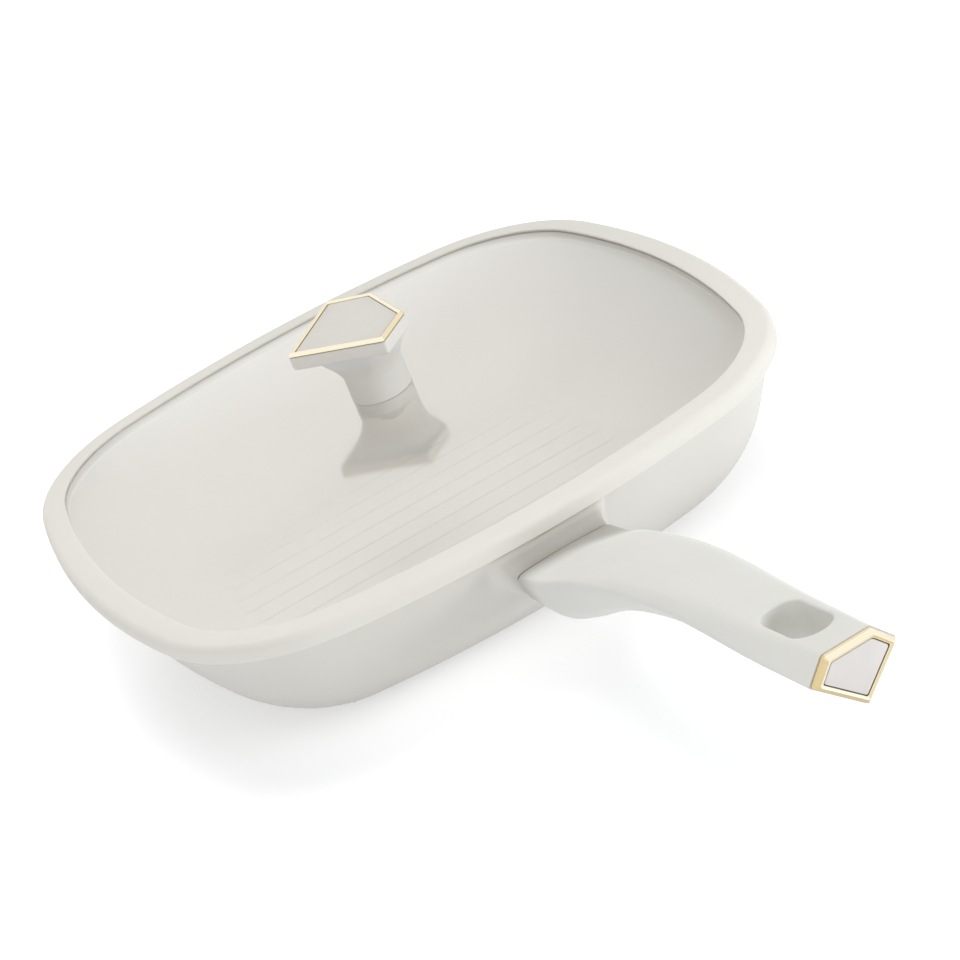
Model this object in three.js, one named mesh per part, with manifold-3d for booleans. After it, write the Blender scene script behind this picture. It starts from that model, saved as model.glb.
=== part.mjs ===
// Square grill pan with a ribbed floor, a domed glass lid in a soft rim, and a fixed moulded handle.
// Millimetres, +Z up. The origin is the middle of the base's underside. +X runs along the pan's
// longer side, and the handle points along -Y.

import * as THREE from 'three';
import { mergeVertices } from 'three/addons/utils/BufferGeometryUtils.js';
import Module from 'manifold-3d';

const wasm = await Module();
wasm.setup();

// Outline of the lid's edge, a square with bowed sides and wide corners
const lidHalfLength = 145;
const lidHalfWidth = 139.5;
const longSideRadius = 408;
const shortSideRadius = 359;
const cornerRadius = 71.5;

// Pan body
const panHeight = 59.1;
const wallThickness = 3.6;
const floorThickness = 5;
const wallSetback = 3.1;
const wallDraft = 26.5;
const bottomRadius = 37;
const baseCornerRadius = 16;
const rimEdgeChamfer = 0.8;

// Grill ribs on the pan's floor
const ribPitch = 13;
const ribFootWidth = 4.8;
const ribTopWidth = 2.6;
const ribHeight = 3;
const ribEndMargin = 1.5;

// Steel plate pressed into the base
const platePocketInset = 9;
const plateThickness = 2.2;
const plateClearance = 0.3;
const plateHoleRadius = 3.2;
const plateHolePitch = 24;

// Handle, from the lug's face to the end of the moulding
const lugReach = 10;
const lugSwell = 9;
const lugSink = 0.6;
const lugTopClearance = 1.4;
const lugEdgeInset = 0.6;
const handleLength = 222.3;
const handleRootDrop = 6.1;
const handleRise = 50.4;
const rootHalfWidth = 21;
const endHalfWidth = 15.8;
const endDepth = 23.4;
const endShoulder = 8.2;
const handleCrown = 2;
const rootCornerCut = 7;
const endCornerCut = 0.8;

// How the handle's section changes along its length, at these shares of the length
const stationShares = [0, 0.1, 0.22, 0.42, 0.6, 0.8, 1];
const riseShares = [0, 0.161, 0.368, 0.618, 0.769, 0.867, 1];
const widthShares = [1, 0.8, 0.6, 0.33, 0.12, 0, 0];
const depthShares = [1, 1.185, 1.05, 0.751, 0.77, 0.885, 1];
const shoulderShares = [0.265, 0.456, 0.535, 0.601, 0.79, 1.02, 1];
const crownShares = [0.25, 1.1, 1, 0.3, 0, 0, 0];
const topWidthShares = [0.88, 0.79, 0.814, 0.812, 0.78, 0.7, 0.55];
const lowWidthShares = [0.84, 0.869, 0.878, 0.862, 0.74, 0.6, 0.5];
const lowDepthShares = [0.6, 0.76, 0.902, 0.807, 0.658, 0.623, 0.675];
const cutShares = [1, 0.925, 0.838, 0.712, 0.5, 0.22, 0];

// Hang slot near the handle's end
const slotLength = 36;
const slotWidth = 14.8;
const slotSetback = 32;

// Cast tongue inside the handle, and the screw that holds it from below
const tongueWidth = 24;
const tongueThickness = 8;
const tongueLength = 22;
const tongueDrop = 3;
const tongueClearance = 0.4;
const handleScrewSetback = 12;
const handleScrewRadius = 2.5;
const handleScrewHeadRadius = 4.75;
const handleScrewHeadHeight = 3;
const handleScrewReach = 11;
const handleClampThickness = 3;
const lockWasherRadius = 4.6;
const lockWasherThickness = 1.2;

// Five-sided metal frames and the inlays that lie in them
const endTrimLedge = 0.4;
const endTrimDepth = 3;
const endTrimWidth = 2.3;
const endTrimBevel = 0.8;
const endTrimDip = 0.4;
const endBadgeThickness = 2.5;
const knobTrimHeight = 2;
const knobTrimWidth = 2.3;
const knobTrimBevel = 0.6;
const knobTrimDip = 0.5;
const knobBadgeThickness = 1.3;
const badgeClearance = 0.3;
const trimCornerCut = 0.7;

// Soft rim round the glass
const rimTopWidth = 11.2;
const rimSkirtHeight = 4.1;
const rimEdgeRadius = 3;
const rimCrown = 0.4;
const rimSkirtThickness = 2.4;
const rimSkirtChamfer = 0.4;
const rimUnderLip = 1.6;
const rimOverLip = 0.9;
const lidSeatGap = 0.3;

// Glass
const glassThickness = 3.5;
const glassRise = 11.7;
const glassHidden = 5.7;
const glassEdgeClearance = 0.3;
const glassHoleRadius = 5.2;
const glassFlatRadius = 17;
const glassBowShares = [0.25, 0.5, 0.75, 1];

// Knob
const stemRadius = 12.7;
const stemFlare = 9.4;
const stemFlareHeight = 14;
const flareMargin = 0.5;
const flareDropShares = [1, 0.8, 0.55, 0.3, 0.12, 0];
const flareSpreadShares = [0, 0.126, 0.345, 0.64, 0.84, 1];
const knobHeight = 33;
const knobPlateThickness = 6;
const knobPlateChamfer = 1.5;
const knobFlatHalf = 16;
const knobWideHalf = 30.7;
const knobShoulder = 16.2;
const knobApexDrop = 30.7;
const knobFlatReach = 16.2;
const knobCornerCut = 1.2;

// Knob fixing, from the glass outwards
const seatWall = 1.9;
const seatThickness = 1.2;
const gasketRadius = 12;
const gasketThickness = 2;
const sleeveClearance = 0.4;
const washerRadius = 11;
const washerThickness = 1.5;
const springWasherRadius = 5.6;
const springWasherThickness = 1.6;
const knobScrewRadius = 3;
const knobScrewHeadRadius = 5.8;
const knobScrewHeadHeight = 4;
const insertRadius = 5;
const insertLength = 12;
const insertGroove = 0.6;
const screwClearance = 0.3;
const screwEndGap = 3.4;

// Profile of a pan-head screw's head, from its flat top to its full radius
const headRadiusShares = [0.6, 0.92, 1];
const headHeightShares = [0, 0.3, 0.7];

// Counts and allowances
const sideSteps = 4;
const cornerSteps = 7;
const bottomSteps = 6;
const handleSteps = 16;
const roundSteps = 24;
const ribEndSteps = 4;
const studSteps = 12;
const cutSteps = 3;
const overrun = 2;
const weldTolerance = 0.0001;
const cornerReachShare = 0.33;

// Heights that follow from the sizes above
const lidSeatZ = panHeight + lidSeatGap;
const glassBottomZ = lidSeatZ + rimUnderLip;
const glassEdgeZ = glassBottomZ + glassThickness;
const glassTopZ = glassEdgeZ + glassRise;
const rimTopZ = glassEdgeZ + rimOverLip;
const skirtTopZ = rimTopZ - rimCrown - rimEdgeRadius;
const knobTopZ = glassTopZ + knobHeight;
const handleRootTop = panHeight - handleRootDrop;
const handleFaceY = -(lidHalfWidth - wallSetback + lugReach);
const handleEndY = handleFaceY - handleLength;

// Materials
const ceramicCoat = new THREE.MeshStandardMaterial({ color: '#e2dfd8', roughness: 0.42, metalness: 0 });
const softTouch = new THREE.MeshStandardMaterial({ color: '#e1e0da', roughness: 0.62, metalness: 0 });
const silicone = new THREE.MeshStandardMaterial({ color: '#e4e1da', roughness: 0.55, metalness: 0 });
const hiddenSilicone = new THREE.MeshStandardMaterial({ color: '#d9d6ce', roughness: 0.6, metalness: 0 });
const glass = new THREE.MeshStandardMaterial({
  color: '#f1f1ec', roughness: 0.04, metalness: 0, transparent: true, opacity: 0.3,
});
const gold = new THREE.MeshStandardMaterial({ color: '#e3cd94', roughness: 0.22, metalness: 1 });
const inlay = new THREE.MeshStandardMaterial({ color: '#dedad2', roughness: 0.4, metalness: 0 });
const steel = new THREE.MeshStandardMaterial({ color: '#b9bbbd', roughness: 0.35, metalness: 1 });
const brass = new THREE.MeshStandardMaterial({ color: '#c9a95c', roughness: 0.35, metalness: 1 });

const assembly = new THREE.Group();

function place(name, geometry, material) {
  const mesh = new THREE.Mesh(geometry, material);
  mesh.name = name;
  assembly.add(mesh);
  return mesh;
}

// A closed mesh becomes a solid that can be joined and cut
function solid(geometry) {
  const bare = geometry.clone();
  bare.deleteAttribute('normal');
  bare.deleteAttribute('uv');
  const welded = mergeVertices(bare, weldTolerance);
  return new wasm.Manifold(new wasm.Mesh({
    numProp: 3,
    vertProperties: new Float32Array(welded.attributes.position.array),
    triVerts: new Uint32Array(welded.index.array),
  }));
}

function meshOf(shape) {
  const cut = shape.getMesh();
  const geometry = new THREE.BufferGeometry();
  geometry.setAttribute('position', new THREE.BufferAttribute(new Float32Array(cut.vertProperties), 3));
  geometry.setIndex(new THREE.BufferAttribute(new Uint32Array(cut.triVerts), 1));
  return geometry;
}

// Six times the volume that a triangle list encloses, negative when it is inside out
function signedVolume(points, triangles) {
  const [a, b, c] = [new THREE.Vector3(), new THREE.Vector3(), new THREE.Vector3()];
  let sum = 0;
  for (let i = 0; i < triangles.length; i += 3) {
    a.copy(points[triangles[i]]);
    b.copy(points[triangles[i + 1]]);
    c.copy(points[triangles[i + 2]]);
    sum += a.dot(b.cross(c));
  }
  return sum;
}

// Skins loops of equally many points. A ring of loops closes on itself, and any other stack is
// closed at both ends by a fan from the loop's middle.
function loft(loops, ring = false) {
  const count = loops[0].length;
  const points = loops.flat();
  const triangles = [];
  const spans = ring ? loops.length : loops.length - 1;
  for (let i = 0; i < spans; i += 1) {
    const low = i * count;
    const high = ((i + 1) % loops.length) * count;
    for (let j = 0; j < count; j += 1) {
      const next = (j + 1) % count;
      triangles.push(low + j, low + next, high + next, low + j, high + next, high + j);
    }
  }
  if (!ring) {
    for (const [first, turn] of [[0, 1], [(loops.length - 1) * count, 0]]) {
      const middle = new THREE.Vector3();
      for (let j = 0; j < count; j += 1) middle.addScaledVector(points[first + j], 1 / count);
      points.push(middle);
      for (let j = 0; j < count; j += 1) {
        const pair = [first + j, first + ((j + 1) % count)];
        if (turn) pair.reverse();
        triangles.push(pair[0], pair[1], points.length - 1);
      }
    }
  }
  if (signedVolume(points, triangles) < 0) triangles.reverse();
  const geometry = new THREE.BufferGeometry().setFromPoints(points);
  geometry.setIndex(triangles);
  return geometry;
}

function cylinder(radius, low, high, x = 0, y = 0, steps = roundSteps) {
  const shape = new THREE.CylinderGeometry(radius, radius, high - low, steps);
  shape.rotateX(Math.PI / 2);
  shape.translate(x, y, (low + high) / 2);
  return shape;
}

function block(lowX, lowY, lowZ, highX, highY, highZ) {
  const shape = new THREE.BoxGeometry(highX - lowX, highY - lowY, highZ - lowZ);
  shape.translate((lowX + highX) / 2, (lowY + highY) / 2, (lowZ + highZ) / 2);
  return shape;
}

// A turned piece from a profile of [radius, height] pairs that starts and ends on the axis
function turned(profile, steps = roundSteps) {
  const shape = new THREE.LatheGeometry(profile.map(([r, z]) => new THREE.Vector2(r, z)), steps);
  shape.rotateX(Math.PI / 2);
  return shape;
}

// The lid's outline moved inwards by an inset, counter-clockwise from +X. A corner arc touches both
// side arcs, so its middle lies at a known reach from both of their middles.
function roundedSquare(inset) {
  const longRadius = longSideRadius - inset;
  const shortRadius = shortSideRadius - inset;
  const corner = Math.max(cornerRadius - inset, baseCornerRadius);
  const longMiddle = new THREE.Vector2(0, lidHalfWidth - inset - longRadius);
  const shortMiddle = new THREE.Vector2(lidHalfLength - inset - shortRadius, 0);
  const longReach = longRadius - corner;
  const shortReach = shortRadius - corner;
  const along = shortMiddle.clone().sub(longMiddle);
  const apart = along.length();
  along.normalize();
  const across = new THREE.Vector2(along.y, -along.x);
  const foot = (longReach ** 2 - shortReach ** 2 + apart ** 2) / (2 * apart);
  const height = Math.sqrt(longReach ** 2 - foot ** 2);
  const middle = longMiddle.clone().addScaledVector(along, foot).addScaledVector(across, height);
  const sideEnd = middle.clone().sub(shortMiddle).angle();
  const sideStart = middle.clone().sub(longMiddle).angle();
  const arc = (centre, radius, from, to, steps) =>
    new THREE.ArcCurve(centre.x, centre.y, radius, from, to, false).getPoints(steps).slice(1);
  const quarter = [
    new THREE.Vector2(lidHalfLength - inset, 0),
    ...arc(shortMiddle, shortRadius, 0, sideEnd, sideSteps),
    ...arc(middle, corner, sideEnd, sideStart, cornerSteps),
    ...arc(longMiddle, longRadius, sideStart, Math.PI / 2, sideSteps),
  ];
  const loop = [];
  for (const [signX, signY] of [[1, 1], [-1, 1], [-1, -1], [1, -1]]) {
    const points = quarter.map((p) => new THREE.Vector2(p.x * signX, p.y * signY));
    if (signX * signY < 0) points.reverse();
    loop.push(...points.slice(0, -1));
  }
  return loop;
}

function flatLoop(loop, z) {
  return loop.map((p) => new THREE.Vector3(p.x, p.y, z));
}

function outlineAt(inset, z) {
  return flatLoop(roundedSquare(inset), z);
}

// Moves every side of a convex outline inwards by the same distance
function insetCorners(corners, inset) {
  return corners.map((corner, i) => {
    const before = corners[(i + corners.length - 1) % corners.length];
    const after = corners[(i + 1) % corners.length];
    const into = corner.clone().sub(before).normalize();
    const out = after.clone().sub(corner).normalize();
    const bisector = new THREE.Vector2(-into.y - out.y, into.x + out.x).normalize();
    const lean = bisector.dot(new THREE.Vector2(-into.y, into.x));
    return corner.clone().addScaledVector(bisector, inset / lean);
  });
}

// Rounds each corner of an outline with a curve that starts and ends one cut away from it
function softCorners(corners, cut, steps = cutSteps) {
  const loop = [];
  corners.forEach((corner, i) => {
    const before = corners[(i + corners.length - 1) % corners.length];
    const after = corners[(i + 1) % corners.length];
    const reach = (other) => Math.min(cut / other.distanceTo(corner), cornerReachShare);
    const start = corner.clone().lerp(before, reach(before));
    const end = corner.clone().lerp(after, reach(after));
    loop.push(...new THREE.QuadraticBezierCurve(start, corner, end).getPoints(steps));
  });
  return loop;
}

// Five-sided outline with its flat side up and its point down, counter-clockwise
function pentagon(flatHalf, wideHalf, shoulder, apexDrop) {
  return [
    new THREE.Vector2(flatHalf, 0),
    new THREE.Vector2(-flatHalf, 0),
    new THREE.Vector2(-wideHalf, -shoulder),
    new THREE.Vector2(0, -shoulder - apexDrop),
    new THREE.Vector2(wideHalf, -shoulder),
  ];
}

// Smooth value between stations, through one share at each of them
function between(shares, s) {
  const last = stationShares.length - 1;
  let i = 0;
  while (i < last - 1 && s > stationShares[i + 1]) i += 1;
  const slope = (k) => {
    const low = Math.max(k - 1, 0);
    const high = Math.min(k + 1, last);
    return (shares[high] - shares[low]) / (stationShares[high] - stationShares[low]);
  };
  const span = stationShares[i + 1] - stationShares[i];
  const t = (s - stationShares[i]) / span;
  const rest = 1 - t;
  return shares[i] * rest * rest * (1 + 2 * t) + shares[i + 1] * t * t * (3 - 2 * t)
    + slope(i) * span * t * rest * rest - slope(i + 1) * span * t * t * rest;
}

// Insets and heights of one side of the wall, from the flat bottom up to the rim
function wallProfile(startInset, bottomZ, radius) {
  const profile = [];
  for (let k = 0; k <= bottomSteps; k += 1) {
    const angle = (Math.PI / 2) * (1 - k / bottomSteps);
    const z = bottomZ + radius * (1 - Math.sin(angle));
    const lean = wallDraft * (1 - z / panHeight);
    profile.push([startInset + lean + radius * (1 - Math.cos(angle)), z]);
  }
  return profile;
}

const innerSetback = wallSetback + wallThickness;
const innerBottomRadius = bottomRadius - wallThickness;

// How far one side of the wall lies inside the lid's outline at a height
function wallInset(startInset, bottomZ, radius, z) {
  const up = Math.min((z - bottomZ) / radius, 1);
  const curve = radius * (1 - Math.sqrt(1 - (1 - up) ** 2));
  return startInset + wallDraft * (1 - z / panHeight) + curve;
}

// The same for the cavity, for the ribs' run-out
function cavityInset(z) {
  return wallInset(innerSetback, floorThickness, innerBottomRadius, z);
}

// Y of the wall's outer face on the handle's side
function outerFaceY(x, z) {
  const inset = wallInset(wallSetback, 0, bottomRadius, z);
  const radius = longSideRadius - inset;
  return radius + inset - lidHalfWidth - Math.sqrt(radius ** 2 - x ** 2);
}

// Where a line along X at this y meets the lid's outline moved inwards by an inset
function reachAt(y, inset) {
  const loop = roundedSquare(inset);
  for (let i = 0; i < loop.length / 4; i += 1) {
    const [a, b] = [loop[i], loop[i + 1]];
    if (a.y <= y && y <= b.y) return a.x + ((b.x - a.x) * (y - a.y)) / (b.y - a.y);
  }
  return 0;
}

// One rib with round ends and drafted sides. It sinks into the floor, and its ends run out where
// the cavity's curve is as high as the rib.
function rib(y) {
  const reach = reachAt(Math.abs(y), cavityInset(floorThickness + ribHeight)) - ribEndMargin;
  const loopAt = (width, z) => {
    const loop = [];
    for (const side of [1, -1]) {
      for (let k = 0; k <= ribEndSteps; k += 1) {
        const angle = (Math.PI * k) / ribEndSteps - Math.PI / 2;
        const x = side * (reach - ribFootWidth / 2 + (width / 2) * Math.cos(angle));
        loop.push(new THREE.Vector3(x, y + side * (width / 2) * Math.sin(angle), z));
      }
    }
    return loop;
  };
  const rootZ = floorThickness / 2;
  return loft([
    loopAt(ribFootWidth, rootZ),
    loopAt(ribFootWidth, floorThickness),
    loopAt(ribTopWidth, floorThickness + ribHeight),
  ]);
}

// The handle's section at a share of its length, as corners in X and Z. Its top rises to the middle.
function handleCorners(s) {
  const top = handleRootTop + handleRise * between(riseShares, s);
  const half = endHalfWidth + (rootHalfWidth - endHalfWidth) * between(widthShares, s);
  const depth = endDepth * between(depthShares, s);
  const shoulder = endShoulder * between(shoulderShares, s);
  const flat = half * between(topWidthShares, s);
  const flatZ = top - handleCrown * between(crownShares, s);
  const lowX = half * between(lowWidthShares, s);
  const lowZ = top - depth * between(lowDepthShares, s);
  return [
    new THREE.Vector2(flat, flatZ),
    new THREE.Vector2(0, top),
    new THREE.Vector2(-flat, flatZ),
    new THREE.Vector2(-half, top - shoulder),
    new THREE.Vector2(-lowX, lowZ),
    new THREE.Vector2(0, top - depth),
    new THREE.Vector2(lowX, lowZ),
    new THREE.Vector2(half, top - shoulder),
  ];
}

function handleSection(s) {
  const cut = endCornerCut + (rootCornerCut - endCornerCut) * between(cutShares, s);
  return softCorners(handleCorners(s), cut);
}

// An outline in X and Z, stood up at a place along Y
function uprightLoop(loop, y) {
  return loop.map((p) => new THREE.Vector3(p.x, y, p.y));
}

const tongueTopZ = handleRootTop - tongueDrop;
const tongueBottomZ = tongueTopZ - tongueThickness;
const tongueEndY = handleFaceY - tongueLength;
const handleScrewY = handleFaceY - handleScrewSetback;
const handleSeatZ = tongueBottomZ - handleClampThickness;

// Cast boss that grows out of the wall to the handle's face, with a fillet at the wall. It stays
// below the lid's skirt.
function lugBoss() {
  const corners = handleCorners(0);
  const heights = corners.map((corner) => corner.y);
  const middleZ = (Math.max(...heights) + Math.min(...heights)) / 2;
  const halfHeight = Math.max(...heights) - middleZ;
  const outline = softCorners(corners, rootCornerCut);
  const highest = skirtTopZ - rimSkirtHeight - lugTopClearance;
  const ring = (swell, share, sink) => outline.map((p) => {
    const x = p.x * (1 + swell / rootHalfWidth);
    const z = Math.min(middleZ + (p.y - middleZ) * (1 + swell / halfHeight), highest);
    const reach = outerFaceY(x, z) + sink - handleFaceY;
    return new THREE.Vector3(x, handleFaceY + reach * share, z);
  });
  const loops = [ring(lugSwell, 1, wallThickness / 2)];
  for (let k = 0; k <= bottomSteps; k += 1) {
    const angle = (Math.PI / 2) * (1 - k / bottomSteps);
    const [along, off] = [Math.sin(angle), Math.cos(angle)];
    loops.push(ring(lugSwell * (1 - off) - lugEdgeInset * (1 - along), along, lugSink));
  }
  return loft(loops);
}

function panBody() {
  const outside = wallProfile(wallSetback, 0, bottomRadius).map(([inset, z]) => outlineAt(inset, z));
  outside.push(outlineAt(wallSetback, panHeight - rimEdgeChamfer));
  outside.push(outlineAt(wallSetback + rimEdgeChamfer, panHeight));
  const inside = wallProfile(innerSetback, floorThickness, innerBottomRadius)
    .map(([inset, z]) => outlineAt(inset, z));
  inside.push(outlineAt(innerSetback, panHeight - rimEdgeChamfer));
  inside.push(outlineAt(innerSetback - rimEdgeChamfer, panHeight));
  inside.push(outlineAt(innerSetback - rimEdgeChamfer, panHeight + overrun));
  let body = solid(loft(outside)).add(solid(lugBoss()));
  body = body.subtract(solid(loft(inside)));
  const tongue = block(
    -tongueWidth / 2, tongueEndY, tongueBottomZ, tongueWidth / 2, handleFaceY + overrun, tongueTopZ,
  );
  body = body.add(solid(tongue));
  body = body.subtract(solid(cylinder(
    handleScrewRadius + screwClearance, tongueBottomZ - overrun, tongueTopZ + overrun, 0, handleScrewY,
  )));
  const ribRoom = lidHalfWidth - cavityInset(floorThickness + ribHeight) - ribFootWidth;
  const lastRib = Math.floor(ribRoom / ribPitch);
  for (let k = -lastRib; k <= lastRib; k += 1) body = body.add(solid(rib(k * ribPitch)));
  const pocketInset = plateEdgeInset - plateClearance;
  body = body.subtract(solid(loft([
    outlineAt(pocketInset, -overrun), outlineAt(pocketInset, plateThickness),
  ])));
  for (const [x, y] of plateHoles()) {
    const studRadius = plateHoleRadius - plateClearance;
    body = body.add(solid(cylinder(studRadius, 0, plateThickness + overrun / 2, x, y, studSteps)));
  }
  return meshOf(body);
}

const plateEdgeInset = wallSetback + wallDraft + bottomRadius + platePocketInset;

// Places of the plate's holes, all round its middle
function plateHoles() {
  const places = [];
  for (const x of [-plateHolePitch, 0, plateHolePitch]) {
    for (const y of [-plateHolePitch, 0, plateHolePitch]) {
      if (x !== 0 || y !== 0) places.push([x, y]);
    }
  }
  return places;
}

// Steel plate whose holes are filled by studs of the cast base
function inductionPlate() {
  let plate = solid(loft([outlineAt(plateEdgeInset, 0), outlineAt(plateEdgeInset, plateThickness)]));
  for (const [x, y] of plateHoles()) {
    const hole = cylinder(plateHoleRadius, -overrun, plateThickness + overrun, x, y, studSteps);
    plate = plate.subtract(solid(hole));
  }
  return meshOf(plate);
}

function stadium(length, width, low, high, y) {
  const half = length / 2 - width / 2;
  const shape = new THREE.Shape();
  shape.absarc(0, half, width / 2, 0, Math.PI, false);
  shape.absarc(0, -half, width / 2, Math.PI, 2 * Math.PI, false);
  const hole = new THREE.ExtrudeGeometry(shape, {
    depth: high - low, bevelEnabled: false, curveSegments: roundSteps / 2,
  });
  hole.translate(0, y, low);
  return hole;
}

function handleBody() {
  const loops = [];
  for (let k = 0; k <= handleSteps; k += 1) {
    const s = k / handleSteps;
    loops.push(uprightLoop(handleSection(s), handleFaceY - handleLength * s));
  }
  let body = solid(loft(loops));
  const side = tongueWidth / 2 + tongueClearance;
  body = body.subtract(solid(block(
    -side, tongueEndY - tongueClearance, tongueBottomZ,
    side, handleFaceY + overrun, tongueTopZ + tongueClearance,
  )));
  body = body.subtract(solid(cylinder(
    handleScrewRadius + screwClearance, 0, tongueTopZ, 0, handleScrewY,
  )));
  body = body.subtract(solid(cylinder(
    handleScrewHeadRadius + tongueClearance, 0, handleSeatZ, 0, handleScrewY,
  )));
  body = body.subtract(solid(stadium(
    slotLength, slotWidth, handleRootTop, handleRootTop + handleRise + overrun, handleEndY + slotSetback,
  )));
  return meshOf(body);
}

// Pan-head screw that stands on its head, with its shank up
function panHeadScrew(headRadius, headHeight, shankRadius, reach) {
  return turned([
    [0, 0],
    ...headRadiusShares.map((share, i) => [headRadius * share, headHeight * headHeightShares[i]]),
    [headRadius, headHeight],
    [shankRadius, headHeight],
    [shankRadius, headHeight + reach - shankRadius / 2],
    [shankRadius / 2, headHeight + reach],
    [0, headHeight + reach],
  ]);
}

function washer(outer, inner, low, high) {
  return turned([[inner, low], [outer, low], [outer, high], [inner, high], [inner, low]]);
}

// Frame with a bevelled outer edge and a face that dips inwards, from insets of a five-sided outline
// and heights above its seat
function bevelledFrame(corners, width, bevel, dip, height, stand) {
  const at = (inset, h) => stand(softCorners(insetCorners(corners, inset), trimCornerCut), h);
  return loft([
    at(0, 0),
    at(0, height - bevel),
    at(bevel, height),
    at(width, height - dip),
    at(width, 0),
  ], true);
}

function inlayPlate(corners, inset, thickness, stand) {
  const loop = softCorners(insetCorners(corners, inset), trimCornerCut);
  return loft([stand(loop, 0), stand(loop, thickness)]);
}

const endOutline = pentagon(
  endHalfWidth * topWidthShares.at(-1), endHalfWidth, endShoulder, endDepth - endShoulder,
);
const endCorners = insetCorners(endOutline, endTrimLedge);
const standAtEnd = (loop, h) => loop.map(
  (p) => new THREE.Vector3(p.x, handleEndY - h, handleRootTop + handleRise + p.y),
);

const knobCorners = pentagon(knobFlatHalf, knobWideHalf, knobShoulder, knobApexDrop);
const insertBottomZ = glassTopZ + seatThickness;
const insertTopZ = insertBottomZ + insertLength;
const seatRadius = stemRadius - seatWall;
const standOnKnob = (base) => (loop, h) =>
  loop.map((p) => new THREE.Vector3(knobFlatReach + p.y, -p.x, base + h));

// Soft rim: a skirt outside the wall, a seat over the wall's edge, and a groove for the glass
function lidRim() {
  const grooveInset = rimTopWidth - glassHidden - glassEdgeClearance;
  const skirtBottomZ = skirtTopZ - rimSkirtHeight;
  const profile = [
    [rimSkirtThickness, skirtBottomZ],
    [rimSkirtChamfer, skirtBottomZ],
    [0, skirtBottomZ + rimSkirtChamfer],
  ];
  for (let k = 0; k <= cutSteps; k += 1) {
    const angle = (Math.PI / 2) * (k / cutSteps);
    profile.push([rimEdgeRadius * (1 - Math.cos(angle)), skirtTopZ + rimEdgeRadius * Math.sin(angle)]);
  }
  profile.push(
    [rimTopWidth - rimOverLip / 2, rimTopZ],
    [rimTopWidth, rimTopZ - rimOverLip / 2],
    [rimTopWidth, glassEdgeZ],
    [grooveInset, glassEdgeZ],
    [grooveInset, glassBottomZ],
    [rimTopWidth, glassBottomZ],
    [rimTopWidth, lidSeatZ + rimUnderLip / 2],
    [rimTopWidth - rimUnderLip / 2, lidSeatZ],
    [rimSkirtThickness, lidSeatZ],
  );
  return loft(profile.map(([inset, z]) => outlineAt(inset, z)), true);
}

// Domed glass with a flat middle for the knob, a flat edge in the rim's groove and a centre hole
function glassPanel() {
  const domeEdge = roundedSquare(rimTopWidth);
  const glassEdge = rimTopWidth - glassHidden;
  const circle = (radius) => domeEdge.map((p) => p.clone().setLength(radius));
  const flat = circle(glassFlatRadius);
  const skin = (drop) => [
    flatLoop(circle(glassHoleRadius), glassTopZ - drop),
    flatLoop(flat, glassTopZ - drop),
    ...glassBowShares.map((share) => flatLoop(
      flat.map((p, i) => p.clone().lerp(domeEdge[i], share)),
      glassEdgeZ + glassRise * (1 - share ** 2) - drop,
    )),
    outlineAt(glassEdge, glassEdgeZ - drop),
  ];
  return loft([...skin(0), ...skin(glassThickness).reverse()], true);
}

// How far a ray from the middle goes before it meets an outline round that middle
function reachOf(loop, ray) {
  for (let i = 0; i < loop.length; i += 1) {
    const [a, b] = [loop[i], loop[(i + 1) % loop.length]];
    const [before, after] = [ray.cross(a), ray.cross(b)];
    if (before <= 0 && after > 0) return a.clone().lerp(b, before / (before - after)).length();
  }
  return 0;
}

// Five-sided plate on a round stem that spreads into the plate's underside
function knobBody() {
  const plateTop = knobTopZ - knobTrimHeight;
  const plateBottom = plateTop - knobPlateThickness;
  const outline = (inset) => softCorners(insetCorners(knobCorners, inset), knobCornerCut)
    .map((p) => new THREE.Vector2(knobFlatReach + p.y, -p.x));
  const [edge, underside] = [outline(0), outline(knobPlateChamfer)];
  const angles = edge.map((p) => p.angle());
  for (let k = 0; k < roundSteps; k += 1) angles.push((2 * Math.PI * k) / roundSteps);
  const rays = angles.sort((a, b) => a - b)
    .map((angle) => new THREE.Vector2(Math.cos(angle), Math.sin(angle)));
  const loopAt = (reach, z) => rays.map((ray) => {
    const length = reach(ray);
    return new THREE.Vector3(ray.x * length, ray.y * length, z);
  });
  const spread = (ray) => Math.min(stemFlare, reachOf(underside, ray) - stemRadius - flareMargin);
  const loops = [loopAt(() => stemRadius, glassTopZ)];
  flareDropShares.forEach((drop, i) => loops.push(loopAt(
    (ray) => stemRadius + spread(ray) * flareSpreadShares[i],
    plateBottom - stemFlareHeight * drop,
  )));
  loops.push(
    loopAt((ray) => reachOf(underside, ray), plateBottom),
    loopAt((ray) => reachOf(edge, ray), plateBottom + knobPlateChamfer),
    loopAt((ray) => reachOf(edge, ray), plateTop),
  );
  let body = solid(loft(loops));
  body = body.subtract(solid(cylinder(seatRadius + screwClearance, glassTopZ - overrun, insertBottomZ)));
  body = body.subtract(solid(cylinder(insertRadius + screwClearance, insertBottomZ - overrun, insertTopZ)));
  return meshOf(body);
}

// Threaded insert with a groove round its middle that keeps it in the moulding
function knobInsert() {
  const bore = knobScrewRadius + screwClearance;
  const groove = insertRadius - insertGroove;
  return turned([
    [bore, insertBottomZ],
    [insertRadius, insertBottomZ],
    [insertRadius, insertBottomZ + insertLength / 3],
    [groove, insertBottomZ + insertLength / 3 + insertGroove],
    [groove, insertTopZ - insertLength / 3 - insertGroove],
    [insertRadius, insertTopZ - insertLength / 3],
    [insertRadius, insertTopZ],
    [bore, insertTopZ],
    [bore, insertBottomZ],
  ]);
}

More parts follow.
